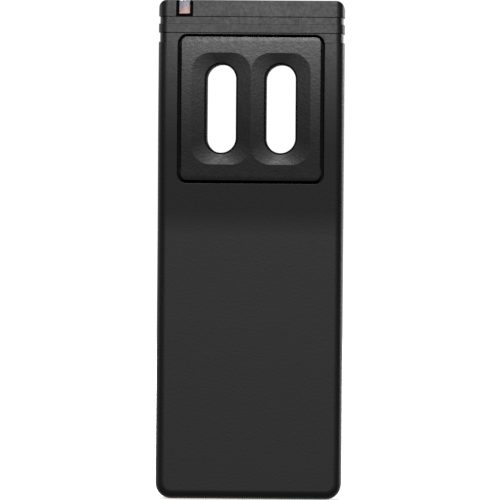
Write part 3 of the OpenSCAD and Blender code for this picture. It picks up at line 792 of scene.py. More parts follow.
def perimeter(side, top):
    """A test for the edges round the rear or the front face, but not along its top."""

    def test(a, b, normals):
        faces = any(n.y * side > 0.7 for n in normals)
        sides = any(abs(n.y) < 0.4 for n in normals)
        return faces and sides and (a.z + b.z) / 2 < top - NEAR

    return test


def low_corners(height):
    """A test for the edges through the depth at the foot's two corners."""
    return lambda a, b, normals: along("y")(a, b, normals) and a.z < height


def case_form(inset, top):
    """The whole case as one solid, drawn inward by an inset, up to a height."""
    half = CAP_HIGH.x - inset
    flat_y = hump()[-1]
    form = block(-half, half, flat_y + inset, FRONT_HIGH.y - inset, inset, top)
    least = 0.4
    round_edges(form, low_corners(inset + 1), max(size("foot_radius") - inset, least), 7)
    stations = rear_stations(inset, top)
    slice_at(form, "z", stations)
    for z in [*stations, top]:
        edit(form)
        done()
        for vertex in form.data.vertices:
            spot = vertex.co / MM
            vertex.select = abs(spot.z - z) < NEAR and spot.y < 0
        bpy.ops.object.mode_set(mode="EDIT")
        bpy.ops.transform.translate(value=(0, (rear_depth(z) - flat_y) * MM, 0))
        done()
    for side in (-1, 1):
        round_edges(form, perimeter(side, top), max(size("edge_radius") - inset, least), 8)
    return form


def round_head(form, top):
    """Rounds the two corners of the head, seen from behind."""
    radius, past = size("head_radius"), 9
    for side in (-1, 1):
        x = side * (CAP_HIGH.x - radius)
        out = x + side * past
        corner = block(min(x, out), max(x, out), -BEYOND, BEYOND, top - radius, top + past)
        cut(corner, rod((x, top - radius), radius, -BEYOND - 5, BEYOND + 5, "y", 48))
        cut(form, corner)


def kept_form(name, make):
    """A form that several pieces start from, made once and kept hidden."""
    if name not in bpy.data.objects:
        form = make()
        form.name = name
        form.hide_render = True
    part = copy_of(bpy.data.objects[name])
    part.hide_render = False
    return part


def whole_case():
    """The case without its grooves."""

    def make():
        top = CAP_HIGH.z
        form = case_form(0, top)
        round_head(form, top)
        round_edges(form, top_brink(top, 0.5), size("head_edge"), 5)
        return form

    return kept_form("form_of_case", make)


def lower_case():
    """The case below the cap's seam, with both ring grooves."""

    def make():
        groove_low, ridge_low, ridge_top, seam = heads()
        form = whole_case()
        trim(form, "z", seam, "low")
        core = case_form(size("groove_depth"), seam + 5)
        reach = BEYOND + 10
        for low, high in ((groove_low, ridge_low), (ridge_top, seam + 3)):
            ring = block(-reach, reach, -BEYOND, BEYOND, low, high)
            cut(ring, copy_of(core))
            cut(form, ring)
        bpy.data.objects.remove(core)
        return form

    return kept_form("form_of_shells", make)


def pocket_tool(grow, y0, y1):
    """The space the strap plate sits in, as a tool; its gap is narrower below and above the plate."""
    gap = size("plate_gap")
    below, above = 0.8 * gap, 0.7 * gap
    return rounded_block(
        PLATE_LOW.x - gap - grow, PLATE_HIGH.x + gap + grow, y0, y1,
        PLATE_LOW.z - below - grow, PLATE_HIGH.z + above + grow,
        size("plate_radius") + gap + grow, "y", 8,
    )


def screw_places():
    """Where the four case screws stand: across and up."""
    low, high = node_box("case_screws")
    head = 1.7
    return [(x, z) for x in (low.x + head, high.x - head) for z in (low.z + head, high.z - head)]


def slot_places():
    """The middles of the two strap slots: across and up."""
    middle = (PLATE_LOW.z + PLATE_HIGH.z) / 2
    return [(side * size("slot_pitch") / 2, middle) for side in (-1, 1)]


def at_screws(piece, how, radius, y0, y1, sides=24):
    """Cuts or adds a rod through the depth at each case screw."""
    for place in screw_places():
        how(piece, rod(place, radius, y0, y1, "y", sides))


def at_slots(piece, how, wide, tall, y0, y1):
    """Cuts or adds an upright slot at each strap slot."""
    for x, z in slot_places():
        how(piece, slot_block(x, z, wide, tall, y0, y1))


def seal_tool():
    """The ring that the rubber seal sits in, in the parting plane."""
    wall, y, top = size("wall"), SHELL_HIGH.y, heads()[0] - 1
    clear, deep = 0.05, 0.55
    rings = []
    for inset, reach in ((wall / 3 - clear, 0), (wall * 2 / 3 + clear, 2)):
        half = CAP_HIGH.x - inset
        ring = block(-half, half, y - deep - reach, y + 1 + reach, inset, top + reach)
        round_edges(ring, low_corners(5), size("foot_radius") - inset, 7)
        rings.append(ring)
    return cut(*rings)


def near_skin(p):
    """True for a place on the outside of the case."""
    skin = 0.6
    return (
        abs(p.x) > CAP_HIGH.x - skin or p.z < skin / 2
        or p.y < rear_depth(p.z) + skin or p.y > FRONT_HIGH.y - skin
    )


def break_seam(piece, axis, place):
    """Softens a shell's outer edge along a parting plane."""
    i = "xyz".index(axis)

    def test(a, b, normals):
        bent = len(normals) == 2 and normals[0].dot(normals[1]) < 0.5
        return bent and all(abs(p[i] - place) < 1e-3 and near_skin(p) for p in (a, b))

    round_edges(piece, test, size("seam_break"), 2)


class BODYPACK_OT_rear_shell(bpy.types.Operator):
    """Rear shell: hump, rolled edges, ring grooves, and the pocket for the strap plate"""

    bl_idname = "bodypack.rear_shell"
    bl_label = "Rear shell"

    def execute(self, context):
        parting, seam, seat = SHELL_HIGH.y, SHELL_HIGH.z, LINER_LOW.y
        pocket_wall, liner_corner, screw_hole = 1.2, 2, 1.1
        shell = lower_case()
        trim(shell, "y", parting, "low")
        hollow = case_form(size("wall"), seam + 3)
        cut(hollow, pocket_tool(pocket_wall, -BEYOND, seat + pocket_wall))
        cut(shell, hollow, pocket_tool(0, -BEYOND, seat))
        cut(shell, rounded_block(
            LINER_LOW.x - FIT, LINER_HIGH.x + FIT, seat - 1, 1,
            LINER_LOW.z - FIT, LINER_HIGH.z + FIT, liner_corner, "y", 6,
        ))
        at_screws(shell, cut, screw_hole, seat - 1, seat + 2)
        cut(shell, seal_tool(), bezel_room(FIT))
        gap, groove_low = size("plate_gap"), heads()[0]

        def pocket_rim(a, b, normals):
            bent = any(n.y < -0.8 for n in normals) and any(abs(n.y) < 0.3 for n in normals)
            return bent and all(
                abs(p.x) < PLATE_HIGH.x + gap + 0.05
                and PLATE_LOW.z - gap < p.z < groove_low + NEAR
                and p.y < rear_depth(p.z) + 0.05
                for p in (a, b)
            )

        round_edges(shell, pocket_rim, size("pocket_edge"), 3)
        break_seam(shell, "y", parting)
        finish_piece(shell, "rear_case", "case", ["rear_shell"], "case")
        flatten(shell)
        # The pocket's walls and floor, seen through the gap round the plate, get the painted shade finish:
        # painted shadow in the gap
        room, sunk, behind = gap + 0.02, 0.5, seat + 1.3
        paint_faces(
            shell,
            lambda c, n: abs(c.x) < PLATE_HIGH.x + room and PLATE_LOW.z - room < c.z < PLATE_HIGH.z + room
            and rear_depth(c.z) + sunk < c.y < behind,
            "painted_shade",
        )
        return {"FINISHED"}


class BODYPACK_OT_front_shell(bpy.types.Operator):
    """Front shell: its walls, screw bosses, and the openings for door, display, keys and straps"""

    bl_idname = "bodypack.front_shell"
    bl_label = "Front shell"

    def execute(self, context):
        parting, seam, seat = SHELL_HIGH.y, SHELL_HIGH.z, LINER_LOW.y
        run, front, hinge = size("run_gap"), FRONT_HIGH.y, size("hinge_radius")
        boss, pilot, pilot_depth, window_corner = 2, 0.97, 11.5, 1.1
        lip = DOOR_HIGH.x + run
        shell = lower_case()
        trim(shell, "y", parting, "high")
        hollow = case_form(size("wall"), seam + 3)
        for side in (-1, 1):
            cut(hollow, block(
                min(side * lip, side * BEYOND), max(side * lip, side * BEYOND),
                PIN_Y - hinge, 20, -5, PIN_Z + hinge,
            ))
        cut(shell, hollow)
        at_screws(shell, add, boss, seat + 1.25, front - 1, 32)
        cut(shell, block(-lip, lip, PIN_Y - hinge - run, front + 1, -1, DOOR_HIGH.z + run))
        cut(shell, rod((PIN_Y, PIN_Z), PIN_RADIUS + 0.02, PIN_LOW.x - 0.05, PIN_HIGH.x + 0.05, "x", 32))
        at_screws(shell, cut, pilot, seat, seat + pilot_depth)
        wide, tall = liner_outer()
        at_slots(shell, cut, wide + FIT, tall + FIT, 0, front + 1)
        cut(shell, rounded_block(
            DISPLAY_LOW.x - FIT, DISPLAY_HIGH.x + FIT, DISPLAY_LOW.y - 3, front + 1,
            DISPLAY_LOW.z - FIT, DISPLAY_HIGH.z + FIT, window_corner, "y", 5,
        ))
        for x, z, w, h in key_places():
            cut(shell, rounded_block(
                x - w / 2 - run, x + w / 2 + run, 0, front + 1,
                z - h / 2 - run, z + h / 2 + run, size("key_radius") + run, "y", 6,
            ))

        def opening_rim(a, b, normals):
            bent = any(n.y > 0.9 for n in normals) and any(abs(n.y) < 0.1 for n in normals)
            inside = all(abs(p.x) < CAP_HIGH.x - 2.3 and 5 < p.z < heads()[0] - 0.5 for p in (a, b))
            return bent and inside and a.y > front - 1e-3

        rim_break = 0.18
        round_edges(shell, opening_rim, rim_break, 2)
        break_seam(shell, "y", parting)
        finish_piece(shell, "front_case", "case", ["front_shell"], "case")
        flatten(shell)
        return {"FINISHED"}


def liner_outer():
    """Outer width and length of a liner tube."""
    return size("slot_width") + 2 * TUBE_WALL, size("slot_length") + 2 * TUBE_WALL


def key_places():
    """Each front key: across, up, width and height of its cap."""
    collars = 2 * KEY_COLLAR
    found = []
    for low, high in (node_box("minus_key"), node_box("plus_key")):
        middle = (low + high) / 2
        found.append((middle.x, middle.z, high.x - low.x - collars, high.z - low.z - collars))
    return found


def bezel_room(grow):
    """The corner of the head that the status window's bezel fills, as a tool."""
    return block(
        BEZEL_LOW.x - grow, BEZEL_HIGH.x + grow, -BEYOND, BEZEL_HIGH.y + grow,
        SHELL_HIGH.z - grow, CAP_HIGH.z + 5,
    )


class BODYPACK_OT_top_cap(bpy.types.Operator):
    """Top cap, with the places for its button, mute knob, socket and status window"""

    bl_idname = "bodypack.top_cap"
    bl_label = "Top cap"

    def execute(self, context):
        seam, top, run = SHELL_HIGH.z, CAP_HIGH.z, size("run_gap")
        inside, skirt, nut_depth, rim_break = top - CAP_THICK, 2.7, 0.9, 0.14
        cap = whole_case()
        trim(cap, "z", seam, "high")
        cut(cap, case_form(skirt, inside))
        power, jack = head_places()[:2]
        cut(cap, rod(power, POWER_HIGH.x - power[0] - BUTTON_COLLAR + run, inside - 1, top + 2))
        cut(cap, rod(jack, BARREL_RADIUS + 0.05, inside - 1, top + 2))
        cut(cap, rod(jack, size("nut_recess"), top - nut_depth, top + 2, sides=64))
        cut(cap, rounded_block(
            MUTE_LOW.x - run, MUTE_HIGH.x + MUTE_TRAVEL + run, MUTE_LOW.y - run, MUTE_HIGH.y + run,
            inside - 1, top + 2, 0.4, "z", 4,
        ))
        cut(cap, bezel_room(FIT))
        round_edges(cap, top_brink(top, 0.4), rim_break, 2)
        break_seam(cap, "z", seam)
        finish_piece(cap, "head_cap", "case", ["top_cap"], "case")
        flatten(cap)
        return {"FINISHED"}


def head_places():
    """Middles of the power button, the socket and the mute knob, seen from above."""
    boxes = ((POWER_LOW, POWER_HIGH), (NUT_LOW, NUT_HIGH), (MUTE_LOW, MUTE_HIGH))
    return [((low.x + high.x) / 2, (low.y + high.y) / 2) for low, high in boxes]


class BODYPACK_OT_status_window(bpy.types.Operator):
    """Status window at the head's corner: a black bezel round a tinted lens"""

    bl_idname = "bodypack.status_window"
    bl_label = "Status window"

    def execute(self, context):
        rim = size("bezel_rim")
        bezel = cross(whole_case(), bezel_room(0))
        cut(bezel, block(
            BEZEL_LOW.x + rim, BEZEL_HIGH.x - rim, -BEYOND, BEZEL_HIGH.y - rim,
            BEZEL_LOW.z + rim, CAP_HIGH.z + 5,
        ))
        soften(bezel, 0.1)
        finish_piece(bezel, "status_bezel", "case", ["window_bezel"], "bezel")
        # The lens is the case's own corner, moved in and down a little
        sunk = 0.12
        form = whole_case()
        bpy.ops.transform.translate(value=(0, sunk * MM, -sunk * MM))
        bpy.ops.object.transform_apply(location=True, rotation=True, scale=True)
        corner = block(LENS_LOW.x, LENS_HIGH.x, -BEYOND, LENS_HIGH.y, LENS_LOW.z, CAP_HIGH.z + 5)
        glass = cross(form, corner)
        soften(glass, 0.16, steps=3)
        finish_piece(glass, "status_lens", "case", ["status_window"], "lens")
        return {"FINISHED"}


# ---- the strap slots ----


def on_hump(piece):
    """Bends a tool made at the crest's depth so that it follows the rear surface."""
    start(piece)
    for vertex in piece.data.vertices:
        vertex.co.y += (rear_depth(vertex.co.z / MM) - SHELL_LOW.y) * MM


def dish_tool(x, z):
    """A shallow funnel from the dish's outline in to a narrow step round the slot."""
    wide, tall = (size(name) + 2 * size("slot_rim") for name in ("slot_width", "slot_length"))
    depth, over, step = size("dish_depth"), 0.35, 0.3
    # The funnel's slope runs on above the surface, so its mouth is wider than the dish
    grow = 1 + over / depth
    outer_w = wide + (size("dish_width") - wide) * grow
    outer_h = tall + (size("dish_height") - tall) * grow
    tool = slot_block(x, z, wide, tall, SHELL_LOW.y + depth, SHELL_LOW.y + depth + step, 12)
    top = rounded_block(
        x - outer_w / 2, x + outer_w / 2, SHELL_LOW.y - over - 1, SHELL_LOW.y - over,
        z - outer_h / 2, z + outer_h / 2, size("dish_radius") * grow, "y", 12,
    )
    for part, side in ((tool, -1), (top, 1)):
        pick_faces(part, lambda c, n: n.y * side > 0.9)
        bpy.ops.mesh.delete(type="FACE")
        done()
    join(tool, top)
    # The two open ends face each other, and are bridged by the funnel
    edit(tool, "EDGE")
    bpy.ops.mesh.select_non_manifold()
    bpy.ops.mesh.bridge_edge_loops()
    done()
    tidy(tool)
    low, high, parts = z - outer_h / 2, z + outer_h / 2, 20
    slice_at(tool, "z", [low + 1 + i * (high - low - 2) / parts for i in range(parts + 1)])
    on_hump(tool)
    return tool


class BODYPACK_OT_strap_plate(bpy.types.Operator):
    """Strap plate that follows the hump, with a dished surround to each of its two slots"""

    bl_idname = "bodypack.strap_plate"
    bl_label = "Strap plate"

    def execute(self, context):
        flat_y, deep = SHELL_LOW.y, PLATE_HIGH.y
        plate = rounded_block(
            PLATE_LOW.x, PLATE_HIGH.x, flat_y, deep, PLATE_LOW.z, PLATE_HIGH.z,
            size("plate_radius"), "y", 8,
        )
        slice_at(plate, "z", rear_stations(PLATE_LOW.z, PLATE_HIGH.z))
        for vertex in plate.data.vertices:
            if vertex.co.y < (flat_y + 0.1) * MM:
                vertex.co.y = rear_depth(vertex.co.z / MM) * MM
        round_edges(
            plate,
            lambda a, b, n: any(m.y < -0.7 for m in n) and any(abs(m.y) < 0.4 for m in n),
            size("plate_edge"), 3,
        )
        for x, z in slot_places():
            cut(plate, dish_tool(x, z))
        at_slots(plate, cut, size("slot_width"), size("slot_length"), -BEYOND, 0)
        screw_room, screw_depth = 2, 1.3
        at_screws(plate, cut, screw_room, LINER_LOW.y - screw_depth, LINER_LOW.y + 2, 32)
        finish_piece(plate, "strap_bridge", "case", ["strap_plate"], "plate")
        # The dishes meet the plate at a crisp, very shallow edge
        pick_edges(
            plate,
            lambda a, b, n: len(n) == 2 and max(m.y for m in n) < -0.95
            and n[0].angle(n[1]) > math.radians(3.5),
        )
        bpy.ops.mesh.mark_sharp()
        done()
        # The plate's side walls, its slot walls and the floor of the step round each slot get the painted
        # shade finish: a painted dark outline standing in for shadow
        below = size("dish_depth") + 0.1
        paint_faces(plate, lambda c, n: abs(n.y) < 0.9 or c.y > rear_depth(c.z) + below, "painted_shade")
        return {"FINISHED"}


class BODYPACK_OT_slot_liner(bpy.types.Operator):
    """Liner: a flange behind the plate and two tubes that lead the straps through the case"""

    bl_idname = "bodypack.slot_liner"
    bl_label = "Slot liner"

    def execute(self, context):
        seat = LINER_LOW.y
        liner = rounded_block(
            LINER_LOW.x, LINER_HIGH.x, seat, seat + FLANGE, LINER_LOW.z, LINER_HIGH.z, 1.9, "y", 6
        )
        at_slots(liner, add, *liner_outer(), seat + NEAR, LINER_HIGH.y)
        wider, mouth_edge = 0.2, 0.3
        at_slots(liner, cut, size("slot_width") + wider, size("slot_length") + wider, -BEYOND, BEYOND)
        round_edges(liner, brink("y", LINER_HIGH.y), mouth_edge, 3)
        # The liner takes the painted shade finish: painted shadow on the slot walls
        finish_piece(liner, "strap_liner", "case", ["slot_liner"], "painted_shade")
        return {"FINISHED"}


# ---- the battery door ----


class BODYPACK_OT_battery_door(bpy.types.Operator):
    """Battery door with its hinge barrel and the housing of its latch"""

    bl_idname = "bodypack.battery_door"
    bl_label = "Battery door"

    def execute(self, context):
        half, front, top = DOOR_HIGH.x, DOOR_HIGH.y, DOOR_HIGH.z
        inner, barrel_edge, pin_play = front - DOOR_THICK, 0.2, 0.05
        door = block(-half, half, inner, front, PIN_Z, top)
        round_edges(
            door,
            lambda a, b, n: min(a.y, b.y) > front - NEAR and min(a.z, b.z) > PIN_Z - NEAR
            and not (a.z < PIN_Z + NEAR and b.z < PIN_Z + NEAR),
            size("door_edge"), 4,
        )
        barrel = rod((PIN_Y, PIN_Z), size("hinge_radius"), -half, half, "x", 64)
        round_edges(barrel, lambda a, b, n: any(abs(m.x) > 0.9 for m in n), barrel_edge, 2)
        half_housing, housing_wall, floor = 7, 0.8, 64.8 - 1.6
        add(door, barrel, block(
            -half_housing, half_housing, LATCH_LOW.y - housing_wall, inner + 0.2, floor, top - NEAR
        ))
        cut(door, rod((PIN_Y, PIN_Z), PIN_RADIUS + pin_play, -half - 1, half + 1, "x", 32))
        pad_low, pad_high = LATCH_LOW.z, LATCH_LOW.z + PAD_HEIGHT
        # Below the pad its opening leaves room for the latch's travel too
        play, play_below = 0.25, 1.05
        cut(door, rounded_block(
            LATCH_LOW.x - play, LATCH_HIGH.x + play, inner - NEAR, front + 1,
            pad_low - play_below, pad_high + play, 0.5, "y", 4,
        ))
        half_channel, channel_floor = 3.25, 64.0
        cut(door, block(
            -half_channel, half_channel, LATCH_LOW.y - 0.15, inner + NEAR, channel_floor, top + 1
        ))
        finish_piece(door, "battery_cover", "door", ["battery_door"], "case")
        flatten(door)
        return {"FINISHED"}


class BODYPACK_OT_door_latch(bpy.types.Operator):
    """Sliding latch of the battery door: a ribbed thumb pad and its tongue"""

    bl_idname = "bodypack.door_latch"
    bl_label = "Door latch"

    def execute(self, context):
        inner, face, low = DOOR_HIGH.y - DOOR_THICK, LATCH_HIGH.y, LATCH_LOW.z
        high = low + PAD_HEIGHT
        pad = rounded_block(LATCH_LOW.x, LATCH_HIGH.x, inner + FIT, face, low, high, 0.35, "y", 4)
        round_edges(pad, brink("y", face), 0.15, 2)
        groove, groove_depth, pitch, margin = 0.35, 0.3, 0.65, 0.8
        for i in range(3):
            z = low + groove + pitch * i
            cut(pad, rounded_block(
                LATCH_LOW.x + margin, LATCH_HIGH.x - margin, face - groove_depth, face + 1,
                z, z + groove, 0.15, "y", 3,
            ))
        half, gap = 3, 0.15
        add(pad, block(-half, half, inner - 0.2, inner + gap, low + NEAR, high - NEAR))
        add(pad, block(-half, half, LATCH_LOW.y, inner - gap, low, LATCH_HIGH.z))
        # The spring goes into a bore in the tongue as the latch is pulled
        spring_y, bore, bore_depth = LATCH_LOW.y + 1.3, 1.02, 0.95
        cut(pad, rod((0, spring_y), bore, low - 1, low + bore_depth))
        finish_piece(pad, "cover_latch", "latch", ["door_latch"], "case")
        return {"FINISHED"}


# ---- the controls ----


class BODYPACK_OT_front_keys(bpy.types.Operator):
    """Minus and plus keys: soft-cornered caps with their signs cut in"""

    bl_idname = "bodypack.front_keys"
    bl_label = "Front keys"

    def execute(self, context):
        names = (("key_minus", "minus", "minus_key"), ("key_plus", "plus", "plus_key"))
        for (x, z, w, h), (name, body, node) in zip(key_places(), names):
            low, high = node_box(node)
            face, collar_y = high.y, FRONT_HIGH.y - size("wall") - 0.9
            cap = rounded_block(
                x - w / 2, x + w / 2, collar_y, face, z - h / 2, z + h / 2, size("key_radius"), "y", 6
            )
            round_edges(cap, brink("y", face), 0.35, 4)
            out = KEY_COLLAR
            add(cap, rounded_block(
                x - w / 2 - out, x + w / 2 + out, collar_y - 0.001, collar_y + 0.6,
                z - h / 2 - out, z + h / 2 + out, size("key_radius"), "y", 6,
            ))
            stem = 1.2
            add(cap, rod((x, z), stem, low.y, collar_y + 0.3, "y", 32))
            deep, arm, stroke = face - size("key_mark"), 1, 0.18
            cut(cap, block(x - arm, x + arm, deep, face + 1, z - stroke, z + stroke))
            if body == "plus":
                cut(cap, block(x - stroke, x + stroke, deep, face + 1, z - arm, z + arm))
            finish_piece(cap, name, body, [node], "keys")
        return {"FINISHED"}


class BODYPACK_OT_power_button(bpy.types.Operator):
    """Power button: a round cap with a raised rim and a dished middle"""

    bl_idname = "bodypack.power_button"
    bl_label = "Power button"

    def execute(self, context):
        place = head_places()[0]
        reach = POWER_HIGH.x - place[0]
        radius, top = reach - BUTTON_COLLAR, POWER_HIGH.z
        cap_depth, rim_width, rim_round = 2.4, 0.75, 0.28
        cap = rod(place, radius, top - cap_depth, top, sides=64)
        pick_faces(cap, lambda c, n: n.z > 0.9)
        # Rings inward from the rim: how far each lies from the last, and how much lower
        bpy.ops.mesh.inset(thickness=rim_width * MM)
        for inward, down in ((0.45, 0.2), (0.6, 0.1), (0.8, 0.05)):
            bpy.ops.mesh.inset(thickness=inward * MM)
            bpy.ops.transform.translate(value=(0, 0, -down * MM))
        done()
        round_edges(
            cap,
            lambda a, b, n: min(a.z, b.z) > top - NEAR and any(abs(m.z) < 0.2 for m in n),
            rim_round, 4,
        )
        stem, collar_low, collar_top = 1.3, top - 2.8, top - 2.0
        add(cap, rod(place, reach, collar_low, collar_top, sides=64))
        add(cap, rod(place, stem, POWER_LOW.z, top - 2.3, sides=32))
        finish_piece(cap, "power_cap", "power", ["power_button"], "keys")
        return {"FINISHED"}


class BODYPACK_OT_mute_knob(bpy.types.Operator):
    """Mute knob: a small ribbed slider on its stem"""

    bl_idname = "bodypack.mute_knob"
    bl_label = "Mute knob"

    def execute(self, context):
        place, top, tall = head_places()[2], MUTE_HIGH.z, 2.6
        knob = rounded_block(MUTE_LOW.x, MUTE_HIGH.x, MUTE_LOW.y, MUTE_HIGH.y, top - tall, top, 0.35, "z", 4)
        round_edges(knob, brink("z", top), 0.18, 3)
        pitch, half_groove, groove_depth = 0.9, 0.2, 0.4
        for i in (-1, 0, 1):
            x = place[0] + pitch * i
            cut(knob, block(
                x - half_groove, x + half_groove, MUTE_LOW.y - 1, MUTE_HIGH.y + 1, top - groove_depth, top + 1
            ))
        add(knob, block(place[0] - 1, place[0] + 1, place[1] - 0.7, place[1] + 0.7, MUTE_LOW.z, top - 2.5))
        finish_piece(knob, "mute_slider", "mute", ["mute_knob"], "mute")
        return {"FINISHED"}


class BODYPACK_OT_socket(bpy.types.Operator):
    """Microphone socket: its plated barrel, and the notched nut that holds it in the head"""

    bl_idname = "bodypack.socket"
    bl_label = "Microphone socket"

    def execute(self, context):
        place = head_places()[1]
        bore, tail_radius, flange_radius, flange_thick = 1.8, 2.5, 3.9, 1.95
        top, low = BARREL_HIGH.z, BARREL_LOW.z
        barrel = rod(place, BARREL_RADIUS, top - 3.4, top, sides=64)
        round_edges(barrel, lambda a, b, n: min(a.z, b.z) > top - NEAR, 0.18, 3)
        flange = CAP_HIGH.z - CAP_THICK - 0.05
        add(barrel, rod(place, flange_radius, flange - flange_thick, flange, sides=64))
        add(barrel, rod(place, tail_radius, low, top - 3, sides=48))
        cut(barrel, rod(place, bore, low + 0.6, top + 1, sides=48))
        round_edges(barrel, top_brink(top, 0.2), 0.25, 3)
        finish_piece(barrel, "socket_barrel", "case", ["jack_barrel"], "nickel")
        radius, notch_radius, notches = 4.3, 0.5, 4
        nut = rod(place, radius, NUT_LOW.z, NUT_HIGH.z, sides=64)
        round_edges(nut, lambda a, b, n: min(a.z, b.z) > NUT_HIGH.z - NEAR, 0.16, 2)
        cut(nut, rod(place, BARREL_RADIUS + 0.03, NUT_LOW.z - 1, NUT_HIGH.z + 1, sides=64))
        for i in range(notches):
            a = i * 2 * math.pi / notches
            notch = (place[0] + radius * math.cos(a), place[1] + radius * math.sin(a))
            cut(nut, rod(notch, notch_radius, NUT_LOW.z - 1, NUT_HIGH.z + 1, sides=24))
        finish_piece(nut, "socket_nut", "case", ["jack_nut"], "nickel")
        return {"FINISHED"}


class BODYPACK_OT_display_window(bpy.types.Operator):
    """Display window in the front shell, polished and soft at its edges"""

    bl_idname = "bodypack.display_window"
    bl_label = "Display window"

    def execute(self, context):
        corner, edge = 1.0, 0.2
        glass = rounded_block(
            DISPLAY_LOW.x, DISPLAY_HIGH.x, DISPLAY_LOW.y, DISPLAY_HIGH.y,
            DISPLAY_LOW.z, DISPLAY_HIGH.z, corner, "y", 6,
        )
        round_edges(glass, brink("y", DISPLAY_HIGH.y), edge, 3)
        finish_piece(glass, "display_pane", "case", ["display_window"], "gloss")
        return {"FINISHED"}


def paint_faces(piece, test, finish):
    """Gives the faces that pass a test a second finish."""
    piece.data.materials.append(finishes()[finish])
    pick_faces(piece, test)
    piece.active_material_index = len(piece.data.materials) - 1
    bpy.ops.object.material_slot_assign()
    done()


NODE_FINISHES = {
    "inner": ["battery_tray"],
    "rubber": ["shell_seal", "door_pad"],
    "screw": ["case_screws"],
    "steel": ["door_hinge_pin", "latch_spring"],
    "nickel": ["contact_springs", "contact_plates"],
    "jacket": ["battery_cell_left", "battery_cell_right"],
    "board": ["main_board", "head_board"],
    "chip": ["board_chips", "jack_housing"],
    "tin": ["rf_shield"],
    "copper": ["antenna"],
    "switch": ["key_switches", "power_switch", "mute_switch_body"],
    "display": ["display_module"],
    "led": ["status_led"],
}


class BODYPACK_OT_inner_finishes(bpy.types.Operator):
    """Finishes of the parts inside the case, which keep their own shapes"""

    bl_idname = "bodypack.inner_finishes"
    bl_label = "Inner parts' finishes"

    def execute(self, context):
        for finish, names in NODE_FINISHES.items():
            for name in names:
                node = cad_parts[name]
                node.data.materials.clear()
                node.data.materials.append(finishes()[finish])
        return {"FINISHED"}


# ---- the stage ----


def soft_light(name, spot, target, wide, tall, power):
    """A soft rectangular light."""
    start()
    bpy.ops.object.light_add(type="AREA", location=spot)
    light = bpy.context.object
    light.name = name
    light.data.shape = "RECTANGLE"
    light.data.size, light.data.size_y = wide, tall
    light.data.energy = power
    light.rotation_euler = (Vector(target) - Vector(spot)).to_track_quat("-Z", "Y").to_euler()


def stage_floor():
    """Pale floor, so wide that its edge is never seen."""
    start()
    bpy.ops.mesh.primitive_plane_add(size=30, location=(0, 0, -0.0002))
    floor = bpy.context.object
    floor.name = "floor"
    bpy.ops.object.mode_set(mode="EDIT")
    bpy.ops.mesh.subdivide(number_cuts=6)
    done()
    f = Finish("Pale studio floor")
    cloud = f.noise(0.002, 3.0)
    f.feed("Base Color", f.blend(cloud, (0.90, 0.90, 0.90, 1), (0.94, 0.94, 0.935, 1)))
    f.feed("Roughness", f.span(cloud, 0.3, 0.7, 0.7, 0.8))
    f.feed("Normal", f.bump(f.noise(0.5, 3.0), 0.05, 0.2))
    far = f.node("ShaderNodeVectorMath", operation="LENGTH")
    f.wire(f.place.outputs["Vector"], far.inputs[0])
    # Its glow grows from 15 cm to 1.5 m out, where it is full
    f.feed("Emission Strength", f.span(far.outputs["Value"], 150, 1500, 0.62, 1.0))
    f.set(Specular_IOR_Level=0.1, Emission_Color=(1, 1, 1, 1))
    floor.data.materials.append(f.material)
    # The floor doesn't throw its own white back onto the black case
    floor.visible_diffuse = floor.visible_glossy = False


def surroundings(scene):
    """Dim studio, with a white sheet low down on the far side of the pack."""
    world = bpy.data.worlds.new("Studio surroundings")
    scene.world = world
    world.use_nodes = True
    tree = world.node_tree

    def ramp(source, low, high):
        """A smooth step from 0 to 1 between two values."""
        made = tree.nodes.new("ShaderNodeMapRange")
        made.interpolation_type = "SMOOTHSTEP"
        made.inputs["From Min"].default_value, made.inputs["From Max"].default_value = low, high
        tree.links.new(source, made.inputs["Value"])
        return made.outputs["Result"]

    def product(a, b):
        """Multiplies two values."""
        made = tree.nodes.new("ShaderNodeMath")
        made.operation = "MULTIPLY"
        tree.links.new(a, made.inputs[0])
        tree.links.new(b, made.inputs[1])
        return made.outputs[0]

    # Directions, from -1 to 1 along each axis
    where = tree.nodes.new("ShaderNodeTexCoord")
    split = tree.nodes.new("ShaderNodeSeparateXYZ")
    tree.links.new(where.outputs["Generated"], split.inputs["Vector"])
    low_down = product(ramp(split.outputs["Z"], -2.5, -0.1), ramp(split.outputs["Z"], 0.26, 0.1))
    sheet = product(low_down, ramp(split.outputs["Y"], 0.2, 0.75))
    mix = tree.nodes.new("ShaderNodeMix")
    mix.data_type = "RGBA"
    dim, white = [socket for socket in mix.inputs if socket.type == "RGBA"]
    dim.default_value, white.default_value = (0.1, 0.1, 0.1, 1), (1.03, 1.03, 1.03, 1)
    tree.links.new(sheet, mix.inputs["Factor"])
    tint_out = next(socket for socket in mix.outputs if socket.type == "RGBA")
    tree.links.new(tint_out, tree.nodes["Background"].inputs["Color"])


def camera(middle):
    """A long lens behind the pack, a little above its middle and to the right, and rolled a little."""
    away, view_height, aside = 1.9, 0.1211, 0.00012
    turned, above, roll = math.radians(1.2), math.radians(0.4), math.radians(0.45)
    level = math.cos(above)
    back = Vector((math.sin(turned) * level, -math.cos(turned) * level, math.sin(above)))
    middle = middle - Vector((aside, 0, 0))
    bpy.ops.object.camera_add(location=middle + back * away)
    made = bpy.context.object
    made.name = "camera"
    turn = (-back).to_track_quat("-Z", "Y").to_matrix().to_4x4()
    made.rotation_euler = (turn @ turn.Rotation(roll, 4, "Z")).to_euler()
    made.data.sensor_width = 36
    # The rear face, 10 mm nearer than the middle, fills the picture's height
    made.data.lens = made.data.sensor_width * (away - 0.01) / view_height
    made.data.dof.use_dof = False
    made.data.clip_end = 60
    bpy.context.scene.camera = made


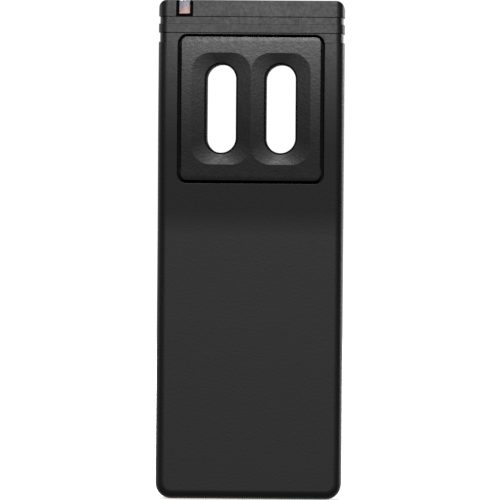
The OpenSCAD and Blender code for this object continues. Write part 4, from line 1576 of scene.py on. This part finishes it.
class BODYPACK_OT_stage(bpy.types.Operator):
    """Pale floor, dim surroundings with a white sheet, soft lights, and the camera"""

    bl_idname = "bodypack.stage"
    bl_label = "Stage, light and camera"

    def execute(self, context):
        stage_floor()
        surroundings(context.scene)
        context.scene.view_settings.view_transform = "Standard"
        middle = Vector((0, 0, 0.0604))
        soft_light("key_light", (0.10, -1.62, 0.88), middle, 0.3, 0.2, 21)
        soft_light("door_light", (-0.35, 1.6, 0.95), middle, 0.6, 0.4, 26)
        soft_light("rim_light", (1.15, 1.15, 0.5), middle, 0.3, 0.8, 12)
        soft_light("side_light", (-1.5, 0.7, 0.7), middle, 0.4, 0.8, 7)
        soft_light("top_light", (0.1, 0.8, 1.5), middle, 0.8, 0.8, 4)
        camera(middle)
        return {"FINISHED"}


# ---- the panel ----

OPERATORS = (
    BODYPACK_OT_rear_shell,
    BODYPACK_OT_front_shell,
    BODYPACK_OT_top_cap,
    BODYPACK_OT_status_window,
    BODYPACK_OT_strap_plate,
    BODYPACK_OT_slot_liner,
    BODYPACK_OT_battery_door,
    BODYPACK_OT_door_latch,
    BODYPACK_OT_front_keys,
    BODYPACK_OT_power_button,
    BODYPACK_OT_mute_knob,
    BODYPACK_OT_socket,
    BODYPACK_OT_display_window,
    BODYPACK_OT_inner_finishes,
    BODYPACK_OT_stage,
)


class BODYPACK_PT_panel(bpy.types.Panel):
    """Settings and pieces of the bodypack transmitter"""

    bl_idname = "BODYPACK_PT_panel"
    bl_label = "Bodypack transmitter"
    bl_space_type = "VIEW_3D"
    bl_region_type = "UI"
    bl_category = "Bodypack"

    def draw(self, context):
        for title, group in GROUPS.items():
            box = self.layout.box()
            box.label(text=title.removeprefix("bodypack_").capitalize())
            for name in group.__annotations__:
                box.prop(getattr(context.scene, title), name)
        for operator in OPERATORS:
            self.layout.operator(operator.bl_idname)


GROUPS = {
    "bodypack_case": BodypackCaseSizes,
    "bodypack_strap": BodypackStrapSizes,
    "bodypack_controls": BodypackControlSizes,
    "bodypack_colours": BodypackColours,
}


CLASSES = (*GROUPS.values(), *OPERATORS, BODYPACK_PT_panel)


def register():
    for made in CLASSES:
        bpy.utils.register_class(made)
    for name, group in GROUPS.items():
        setattr(bpy.types.Scene, name, bpy.props.PointerProperty(type=group))


def unregister():
    for name in GROUPS:
        delattr(bpy.types.Scene, name)
    for made in reversed(CLASSES):
        bpy.utils.unregister_class(made)


def main():
    """Builds every piece in order."""
    register()
    for operator in OPERATORS:
        family, name = operator.bl_idname.split(".")
        getattr(getattr(bpy.ops, family), name)()
    for name in ("form_of_case", "form_of_shells"):
        bpy.data.objects.remove(bpy.data.objects[name])


if __name__ == "__main__":
    main()
